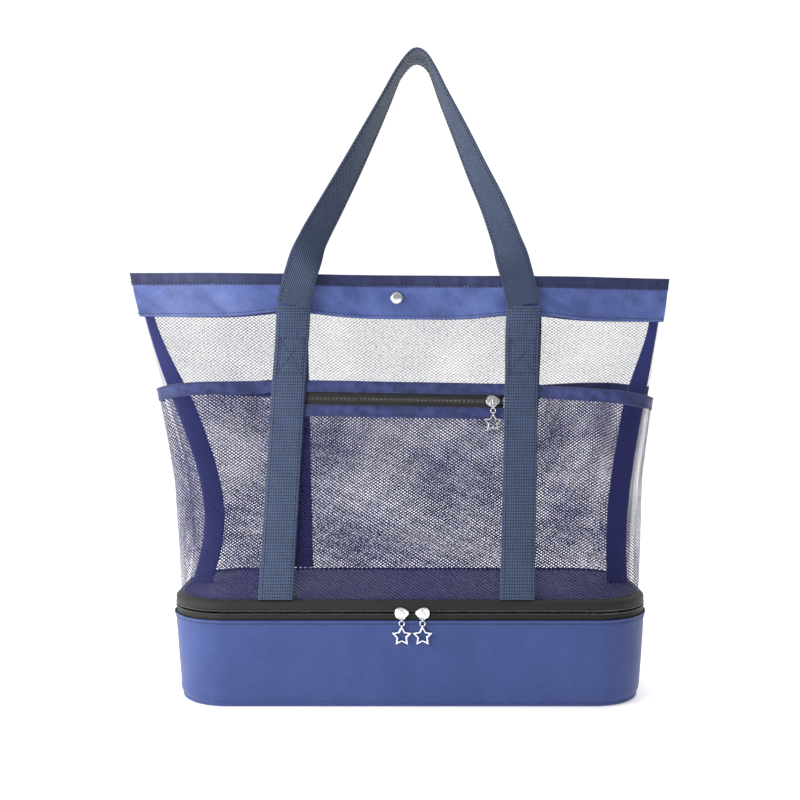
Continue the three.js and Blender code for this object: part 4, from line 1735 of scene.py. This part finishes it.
@dataclass
class Webbing(Maker):
    """The sewn straps and the two free handle loops."""

    body: str = "tote"
    pockets: Pockets = field(default_factory=Pockets)
    width: float = 32
    out: float = 5.1
    start: float = 373
    rise: float = 244
    rear_rise: float = 248
    part: float = 1.5
    box_low: float = 306
    box_high: float = 340
    box_edge: float = 0.14

    def strap_point(
        self, middle: Callable[[float], float], u: float, v: float, out: float
    ) -> Vector:
        """Return a point of a sewn strap, from its foot up to the handle.

        Args:
            middle: gives the strap's middle line at a height.
            u: the share across the strap.
            v: the share of the way up.
            out: how far the point stands off the strap.

        Returns:
            The point.
        """
        z = lerp(TOTE.foot + 1, self.start - 0.3, v)
        x = middle(z) + (u - 0.5) * self.width
        crown = 0.35 * math.cos(math.pi * (u - 0.5)) + 0.3 * ripple(Vector((x, 0, z)), 40, 50)
        lift = TOTE.slope * x * ease(z, TOTE.press, TOTE.band_low) * v**4
        return TOTE.off(TOTE.round_at(x, z), z + lift, self.out + crown + out)

    def strap(self, name: str, middle: Callable[[float], float], rear: bool) -> None:
        """Make one sewn strap with its edge rows and its crossed box of stitches.

        Args:
            name: the CAD node that it stands for.
            middle: gives the strap's middle line at a height.
            rear: mirror it to the rear.
        """
        bm = bent_grid(8, 110, (self.width, 275), lambda u, v: self.strap_point(middle, u, v, 0.0))
        self.finish(f"{name}_webbing", bm, STRAP_WEBBING, [name], 1.5, 0.5, 2, rear=rear)

        def at(u: float, z: float) -> Vector:
            """Return a point on the strap's face at a height."""
            v = (z - TOTE.foot - 1) / (self.start - 1.3 - TOTE.foot)
            return self.strap_point(middle, u, v, 0.85)

        low, high = self.box_low, self.box_high
        near, far = self.box_edge, 1 - self.box_edge
        ends = TOTE.foot + 3, self.start - 4
        rows = [path(90, lambda s: at(u, lerp(*ends, s))) for u in (0.1, 0.9)]
        corners = ((near, low), (far, low), (far, high), (near, high), (near, low))
        for (u0, z0), (u1, z1) in zip(corners, corners[1:]):
            rows.append(path(10, lambda s: at(lerp(u0, u1, s), lerp(z0, z1, s))))
        rows.append(path(12, lambda s: at(lerp(near, far, s), lerp(low, high, s))))
        rows.append(path(12, lambda s: at(lerp(far, near, s), lerp(low, high, s))))
        rows.append(path(10, lambda s: at(lerp(0.06, 0.94, s), self.start - 3.2)))
        self.finish(f"{name}_stitches", sewn(rows), THREAD, rear=rear)

    def loop(self, name: str, spacing: float, shift: float, rise: float, rear: bool) -> None:
        """Make one handle loop, which turns edge-on towards its apex.

        Args:
            name: the CAD node, which is also the body.
            spacing: between the middles of its two legs where they are sewn.
            shift: how far the pair's middle is from the bag's.
            rise: the apex's height above the stitches.
            rear: mirror it to the rear.
        """
        leg = TOTE.round_at(shift + spacing / 2, self.start)
        first = TOTE.off(leg, self.start, self.out).y
        curve = Spline([(shift + a * spacing / 2, self.start + b * rise) for a, b in HANDLE_LINE])
        free = TOTE.rim + 4

        def at(u: float, v: float, out: float = 0.0) -> Vector:
            """Return a point of the loop, a share across and a share along.

            Args:
                u: the share across the webbing.
                v: the share along the loop.
                out: how far it stands off the webbing.

            Returns:
                The point.
            """
            x, z, along = curve.at(v)
            high = clamp((z - free) / (self.start + rise - free))
            turn = math.pi / 2 * (0.3 * ease(high, 0, 0.14) + 0.7 * high)
            flat = Vector((along.z, 0, -along.x)).normalized() * math.cos(turn)
            width = Vector((flat.x, math.sin(turn), flat.z))
            through = along.cross(width).normalized()
            resting = -(self.part + self.width / 2 * math.sin(turn) + 0.9)
            y = lerp(first, resting, ease(high, 0, 0.4))
            cup = 0.5 * math.cos(math.pi * (u - 0.5)) - 0.5
            point = Vector((x, y, z + 0.3 * (v in (0.0, 1.0))))
            return point + width * ((u - 0.5) * self.width) - through * (out + cup)

        bm = bent_grid(10, 240, (self.width, curve.length), at)
        bmesh.ops.reverse_faces(bm, faces=bm.faces)
        self.finish(f"{name}_webbing", bm, WEBBING, [name], 1.8, 0.6, 3, rear=rear, body=name)
        rows = []
        for u in (0.09, 0.91):
            for out in (1.1, -1.1):
                rows.append(path(260, lambda s: at(u, lerp(0.006, 0.994, s), out)))
        self.finish(f"{name}_stitches", sewn(rows), THREAD, rear=rear, body=name)

    def build(self) -> None:
        """Make the four straps and both handles."""
        for side, name in ((-1, "left"), (1, "right")):
            self.strap(f"front_{name}_strap", lambda z: self.pockets.strap_x(side, z), False)
            self.strap(
                f"rear_{name}_strap", lambda z: side * self.pockets.rear_spacing / 2 - 1, True
            )
        self.loop("front_handle", self.pockets.strap_spacing, -1.5, self.rise, False)
        self.loop("rear_handle", self.pockets.rear_spacing, -1, self.rear_rise, True)


class Spline:
    """A smooth curve through points of the XZ plane, read by its length."""

    def __init__(self, points: Sequence[tuple[float, float]], cells: int = 40) -> None:
        """Sample the curve.

        Args:
            points: the points it runs through.
            cells: how finely each span is sampled.
        """
        ends = [points[0], *points, points[-1]]
        self.samples: list[tuple[float, float]] = []
        for p0, p1, p2, p3 in zip(ends, ends[1:], ends[2:], ends[3:]):
            for i in range(cells):
                t = i / cells
                self.samples.append(
                    tuple(
                        0.5
                        * (
                            2 * b
                            + (c - a) * t
                            + (2 * a - 5 * b + 4 * c - d) * t * t
                            + (3 * b - a - 3 * c + d) * t**3
                        )
                        for a, b, c, d in zip(p0, p1, p2, p3)
                    )
                )
        self.samples.append(points[-1])
        self.lengths = [0.0]
        for a, b in zip(self.samples, self.samples[1:]):
            self.lengths.append(self.lengths[-1] + math.dist(a, b))

    @property
    def length(self) -> float:
        """The curve's whole length."""
        return self.lengths[-1]

    def at(self, share: float) -> tuple[float, float, Vector]:
        """Return x, z and the direction at a share of the length.

        Args:
            share: the share of the length.

        Returns:
            x, z and the direction.
        """
        goal = clamp(share) * self.length
        low, high = 0, len(self.lengths) - 2
        while low < high:
            middle = (low + high + 1) // 2
            if self.lengths[middle] <= goal:
                low = middle
            else:
                high = middle - 1
        a, b = self.samples[low], self.samples[low + 1]
        t = (goal - self.lengths[low]) / max(1e-9, self.lengths[low + 1] - self.lengths[low])
        before = self.samples[max(0, low - 6)]
        after = self.samples[min(len(self.samples) - 1, low + 7)]
        along = Vector((after[0] - before[0], 0, after[1] - before[1])).normalized()
        return lerp(a[0], b[0], t), lerp(a[1], b[1], t), along


# ------------------------------------------------------------------ hardware


@dataclass
class SliderSet(Maker):
    """A zip slider with its pull ring and the open star that hangs from it."""

    body: str = "cooler_left_slider"
    name: str = "cooler_left"
    place: Matrix = field(default_factory=Matrix)
    flip: bool = False
    length: float = 13.0
    height: float = 8.6
    tail: float = 0.35
    nose: float = 0.2
    mouth: float = 1.05
    plate: float = 1.0
    ring: float = 3.2
    wire: float = 0.5
    ring_top: float = 0.6
    star: float = 9.7
    star_wire: float = 1.3
    star_rim: float = 1.5
    rivet_z: float = 2.3
    link: tuple[float, float] = (1.25, 0.35)
    eyelet: tuple[float, float] = (2.3, 0.55)

    @property
    def ring_y(self) -> float:
        """How far out the pull ring hangs."""
        return -(self.mouth + self.plate + 0.25 + self.wire)

    def hang(
        self, bm: bmesh.types.BMesh, body: str, piece: str, node: str, bevel: float = 0.0
    ) -> None:
        """Put a part of the set in its place on the bag and finish it.

        Args:
            bm: its shape, about the slider's middle.
            body: the end of its body's name.
            piece: the end of its own name.
            node: the end of the CAD node's name.
            bevel: the width of its rounded edges.
        """
        bmesh.ops.transform(bm, matrix=self.place, verts=bm.verts)
        self.finish(
            f"{self.name}_{piece}", bm, CHROME, [f"{self.name}_{node}"],
            bevel=bevel, rounds=3, body=f"{self.name}_{body}",
        )

    def plate_face(self, bm: bmesh.types.BMesh, y: float, crown: float) -> None:
        """Add one of the slider's plates, domed by crown, with rounded edges.

        Args:
            bm: the shape it is added to.
            y: where its face lies.
            crown: how far its middle is domed.
        """
        made = bmesh.ops.create_circle(bm, cap_ends=True, cap_tris=False, segments=28, radius=1.0)
        bmesh.ops.transform(bm, matrix=UPRIGHT, verts=made["verts"])
        for v in made["verts"]:
            share = v.co.x
            half = 1.0 + self.tail * ease(-share, 0.0, 1.0) - self.nose * ease(share, 0.1, 1.0)
            v.co = Vector((share * self.length / 2, y, v.co.z * half * self.height / 2 * 1.15))
        face = made["verts"][0].link_faces[0]
        grown = bmesh.ops.extrude_face_region(bm, geom=[face])
        moved = [g for g in grown["geom"] if isinstance(g, bmesh.types.BMVert)]
        bmesh.ops.translate(bm, verts=moved, vec=(0, self.plate, 0))
        for v in made["verts"] + moved:
            v.co.y += crown * (1 - (v.co.x * 2 / self.length) ** 2)

    def slider(self) -> None:
        """Make the slider: two plates, a post between them and a bridge for the ring."""
        bm = bmesh.new()
        self.plate_face(bm, -self.mouth - self.plate, -0.2)
        self.plate_face(bm, self.mouth, 0.1)
        outer = self.ring_y - self.wire - 0.75
        foot = -(self.mouth + self.plate) + 0.4
        for z0, z1, y0, y1, x0, x1 in (
            (-0.4, 0.4, -self.mouth - 0.5, self.mouth + 0.5, 2.0, 4.4),
            (1.75, 2.85, outer + 0.2, foot, -0.9, 0.9),
            (-2.85, -1.75, outer + 0.2, foot, -0.9, 0.9),
            (-2.85, 2.85, outer - 0.45, outer + 0.5, -0.9, 0.9),
        ):
            size = Matrix.Diagonal((x1 - x0, y1 - y0, z1 - z0, 1))
            painted_highlight = Matrix.Translation(((x0 + x1) / 2, (y0 + y1) / 2, (z0 + z1) / 2))
            bmesh.ops.create_cube(bm, size=1, matrix=painted_highlight @ size)
        for z in (-self.rivet_z, self.rivet_z):
            painted_highlight = Matrix.Translation(
                (-self.length * 0.27, -self.mouth - self.plate - 0.2, z)
            )
            bmesh.ops.create_cone(
                bm, cap_ends=True, segments=12, radius1=0.8, radius2=0.7, depth=0.5,
                matrix=painted_highlight @ UPRIGHT,
            )
        bmesh.ops.recalc_face_normals(bm, faces=bm.faces)
        if self.flip:
            turn = Matrix.Rotation(math.pi, 4, "Z") @ Matrix.Rotation(math.pi, 4, "X")
            bmesh.ops.transform(bm, matrix=turn, verts=bm.verts)
        self.hang(bm, "slider", "slider_metal", "slider", bevel=0.32)

    def hoop(
        self, bm: bmesh.types.BMesh, centre: Vector, radius: float, wire: float, across: bool
    ) -> None:
        """Add a ring of round wire.

        Args:
            bm: the shape it is added to.
            centre: its middle.
            radius: from its middle to the wire's.
            wire: the wire's radius.
            across: turn it edge-on, with its hole along X and not Y.
        """
        before = set(bm.verts)
        reach = (0, radius, 0) if across else (radius, 0, 0)
        made = bmesh.ops.create_circle(
            bm, segments=12, radius=wire, matrix=Matrix.Translation(reach)
        )
        edges = {e for v in made["verts"] for e in v.link_edges}
        bmesh.ops.spin(
            bm,
            geom=[*made["verts"], *edges],
            cent=(0, 0, 0),
            axis=(1, 0, 0) if across else (0, 1, 0),
            angle=2 * math.pi,
            steps=36,
            use_merge=True,
        )
        fresh = [v for v in bm.verts if v not in before]
        bmesh.ops.translate(bm, verts=fresh, vec=centre)

    def pull_ring(self) -> None:
        """Make the round wire ring through the slider's bridge."""
        bm = bmesh.new()
        centre = Vector((0, self.ring_y, self.ring_top - self.ring))
        self.hoop(bm, centre, self.ring, self.wire, False)
        bmesh.ops.recalc_face_normals(bm, faces=bm.faces)
        self.hang(bm, "ring", "ring_wire", "pull_ring")

    def star_charm(self) -> None:
        """Make the hollow star, its eyelet and its small loop on the ring's wire."""
        bm = bmesh.new()
        low = self.ring_top - 2 * self.ring
        self.hoop(bm, Vector((0, self.ring_y, low)), *self.link, True)
        eye = low - self.link[0] - self.eyelet[0]
        self.hoop(bm, Vector((0, self.ring_y, eye)), *self.eyelet, False)
        centre = eye - self.eyelet[0] - self.star + 0.5
        before = set(bm.verts)
        ring = bmesh.ops.create_circle(bm, cap_ends=True, cap_tris=False, segments=10, radius=1.0)
        for v in ring["verts"]:
            angle = math.atan2(v.co.y, v.co.x)
            step = round((angle - math.pi / 2) / (math.pi / 5)) % 10
            radius = self.star * (0.52 if step % 2 else 1.0)
            angle = math.pi / 2 + step * math.pi / 5
            v.co = Vector((radius * math.cos(angle), 0, radius * math.sin(angle)))
        face = ring["verts"][0].link_faces[0]
        bm.normal_update()
        bmesh.ops.inset_individual(bm, faces=[face], thickness=self.star_rim, use_even_offset=True)
        bmesh.ops.delete(bm, geom=[face], context="FACES_ONLY")
        flat = {f for v in bm.verts if v not in before for f in v.link_faces}
        grown = bmesh.ops.extrude_face_region(bm, geom=list(flat), use_keep_orig=True)
        moved = [g for g in grown["geom"] if isinstance(g, bmesh.types.BMVert)]
        bmesh.ops.translate(bm, verts=moved, vec=(0, self.star_wire, 0))
        fresh = [v for v in bm.verts if v not in before]
        back = self.ring_y - self.star_wire / 2
        bmesh.ops.translate(bm, verts=fresh, vec=(0, back, centre))
        bmesh.ops.recalc_face_normals(bm, faces=bm.faces)
        self.hang(bm, "star", "star_metal", "star_charm", bevel=0.36)

    def build(self) -> None:
        """Make the slider, its ring and its star."""
        self.slider()
        self.pull_ring()
        self.star_charm()


@dataclass
class PressStud(Maker):
    """The press stud at the middle of the mouth."""

    body: str = "tote"
    x: float = -13
    z: float = 381
    radius: float = 5.8

    def turned(
        self, name: str, node: str, profile: Sequence[tuple[float, float]], y: float
    ) -> None:
        """Make a round metal piece spun about the Y axis.

        Args:
            name: the piece's name.
            node: the CAD node that it stands for.
            profile: radius and depth of each point of its half section.
            y: where its depths are measured from.
        """
        bm = bmesh.new()
        verts = [bm.verts.new((r, depth, 0)) for r, depth in profile]
        edges = [bm.edges.new(pair) for pair in zip(verts, verts[1:])]
        if profile[0][0] > 0.01:
            edges.append(bm.edges.new((verts[-1], verts[0])))
        bmesh.ops.spin(
            bm, geom=verts + edges, cent=(0, 0, 0), axis=(0, 1, 0), angle=2 * math.pi,
            steps=40, use_merge=True,
        )
        bmesh.ops.remove_doubles(bm, verts=bm.verts, dist=0.001)
        bmesh.ops.translate(bm, verts=bm.verts, vec=(self.x, y, self.z))
        bmesh.ops.recalc_face_normals(bm, faces=bm.faces)
        self.finish(name, bm, CHROME, [node])

    def build(self) -> None:
        """Make the cap, its socket, the stud and the disc behind it."""
        at = TOTE.point(TOTE.round_at(self.x, self.z), self.z, TOTE.overhang).y
        face, inside = at - 1.4, at + 1.4
        r = self.radius
        cap = (
            (0, -2.1), (r * 0.3, -2.05), (r * 0.55, -1.85), (r * 0.76, -1.45), (r * 0.9, -0.95),
            (r * 0.94, -1.2), (r * 0.985, -1.0), (r, -0.5), (r * 0.96, 0), (0, 0),
        )
        self.turned("snap_cap_dome", "snap_cap", cap, face)
        back = ((0, 0), (r * 0.9, 0), (r * 0.93, 0.4), (r * 0.88, 0.8), (r * 0.6, 1.3), (0, 1.3))
        self.turned("snap_back_disc", "snap_back", back, -face)
        socket = ((2.7, 0), (r * 0.86, 0), (r * 0.9, 0.35), (r * 0.86, 0.7), (3.4, 1.1), (2.7, 1.1))
        self.turned("snap_socket_ring", "snap_socket", socket, inside)
        stud = (
            (0, -2.3), (1.2, -2.25), (1.8, -2.0), (2.2, -1.6), (2.0, -1.15), (r * 0.8, -0.7),
            (r * 0.86, -0.35), (r * 0.85, 0), (0, 0),
        )
        self.turned("snap_stud_post", "snap_stud", stud, -inside)


@dataclass
class Hardware:
    """Where each slider sits along its zip."""

    pockets: Pockets = field(default_factory=Pockets)

    def build(self) -> None:
        """Make the three slider sets and the press stud."""
        y = -(COOLER.depth / 2 - 1.0)
        for name, x, flip in (("cooler_left", -8.0, False), ("cooler_right", 11.0, True)):
            place = Matrix.Translation((x, y, COOLER.zip_middle))
            SliderSet(name=name, place=place, flip=flip).build()
        p = self.pockets

        def on_line(x: float) -> Vector:
            """Return the point of the pocket's zip at x."""
            f = TOTE.round_at(x, p.top)
            return TOTE.off(f, p.top_at(f) - p.zip_drop, p.stand)

        x = p.strap_x(1, p.top) - p.strap_width / 2 - 12
        origin = on_line(x)
        right = (origin - on_line(x - 20)).normalized()
        back = -TOTE.normal(TOTE.round_at(x, origin.z), origin.z)
        up = right.cross(back).normalized()
        place = Matrix((right, back, up)).transposed().to_4x4()
        place.translation = origin
        SliderSet(name="pocket", place=place).build()
        PressStud().build()


# ------------------------------------------------------------------ studio


@dataclass
class Studio:
    """The camera, the pale floor and the soft lights."""

    eye: tuple[float, float, float] = (-0.0096, -1.0566, 0.3181)
    pitch: float = 2.0
    lens: float = 48.26
    sensor: float = 36
    aim: tuple[float, float, float] = (0, 0, 0.3)
    floor_glow: float = 0.34
    floor_reach: float = 90
    shade_from: tuple[float, float, float] = (0.9, -1.4, -0.1)

    def camera(self) -> None:
        """Place the camera level across and tipped down a little."""
        data = bpy.data.cameras.new("camera")
        data.lens = self.lens
        data.sensor_width = self.sensor
        camera = bpy.data.objects.new("camera", data)
        camera.location = self.eye
        camera.rotation_euler = (math.radians(90 - self.pitch), 0, 0)
        bpy.context.scene.collection.objects.link(camera)
        bpy.context.scene.camera = camera

    def floor(self) -> None:
        """Make the floor the bag stands on."""
        bm = bmesh.new()
        bmesh.ops.create_grid(bm, x_segments=2, y_segments=2, size=self.floor_reach)
        mesh = bpy.data.meshes.new("floor")
        bm.to_mesh(mesh)
        bm.free()
        nodes = Nodes("floor_paper")
        nodes.looks((0.84, 0.84, 0.85), 0.7)
        nodes.shader.inputs["Emission Color"].default_value = (1, 1, 1, 1)
        nodes.shader.inputs["Emission Strength"].default_value = self.floor_glow
        mesh.materials.append(nodes.material)
        floor = bpy.data.objects.new("floor", mesh)
        bpy.context.scene.collection.objects.link(floor)
        floor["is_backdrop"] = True

    def lamp(
        self, name: str, place: tuple[float, float, float], size: float, power: float
    ) -> None:
        """Add a square soft light aimed at the bag's middle.

        Args:
            name: the light's name.
            place: where it hangs, in metres.
            size: its side, in metres.
            power: its power, in watts.
        """
        data = bpy.data.lights.new(name, "AREA")
        data.size = size
        data.energy = power
        light = bpy.data.objects.new(name, data)
        light.location = place
        aim = Vector(self.aim) - Vector(place)
        light.rotation_euler = aim.to_track_quat("-Z", "Y").to_euler()
        bpy.context.scene.collection.objects.link(light)

    def sky(self) -> None:
        """Light from all round: full from the left and behind, low from the right."""
        world = bpy.data.worlds.new("studio")
        world.use_nodes = True
        tree = world.node_tree
        back = tree.nodes["Background"]
        back.inputs["Color"].default_value = (1, 1, 1, 1)
        coords = tree.nodes.new("ShaderNodeTexCoord")
        aim = tree.nodes.new("ShaderNodeVectorMath")
        aim.operation = "DOT_PRODUCT"
        aim.inputs[1].default_value = self.shade_from
        fall = tree.nodes.new("ShaderNodeMapRange")
        fall.interpolation_type = "SMOOTHSTEP"
        settings = {"From Min": -0.7, "From Max": 1.4, "To Min": 1.08, "To Max": 0.42}
        for key, value in settings.items():
            fall.inputs[key].default_value = value
        tree.links.new(coords.outputs["Generated"], aim.inputs[0])
        tree.links.new(aim.outputs["Value"], fall.inputs["Value"])
        tree.links.new(fall.outputs["Result"], back.inputs["Strength"])
        bpy.context.scene.world = world

    def build(self) -> None:
        """Make the whole studio."""
        bpy.context.scene.view_settings.view_transform = "Standard"
        self.sky()
        self.camera()
        self.floor()
        self.lamp("key_left", (-0.95, -0.6, 0.5), 0.6, 13)
        self.lamp("top", (0.1, 0.3, 2.6), 1.6, 34)


# ------------------------------------------------------------------ the whole bag


def corners() -> list[list[float]]:
    """Return the whole object's box as plain numbers."""
    return [[float(v) for v in corner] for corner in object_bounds()]


def main() -> None:
    """Build the studio and the bag over its CAD frame."""
    logging.basicConfig(level=logging.INFO, format="%(message)s")
    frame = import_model()
    Studio().build()
    CoolerBase().build(frame["nodes"])
    ToteBody().build()
    pockets = Pockets()
    pockets.build()
    Webbing(pockets=pockets).build()
    Hardware(pockets=pockets).build()


if __name__ == "__main__":
    main()
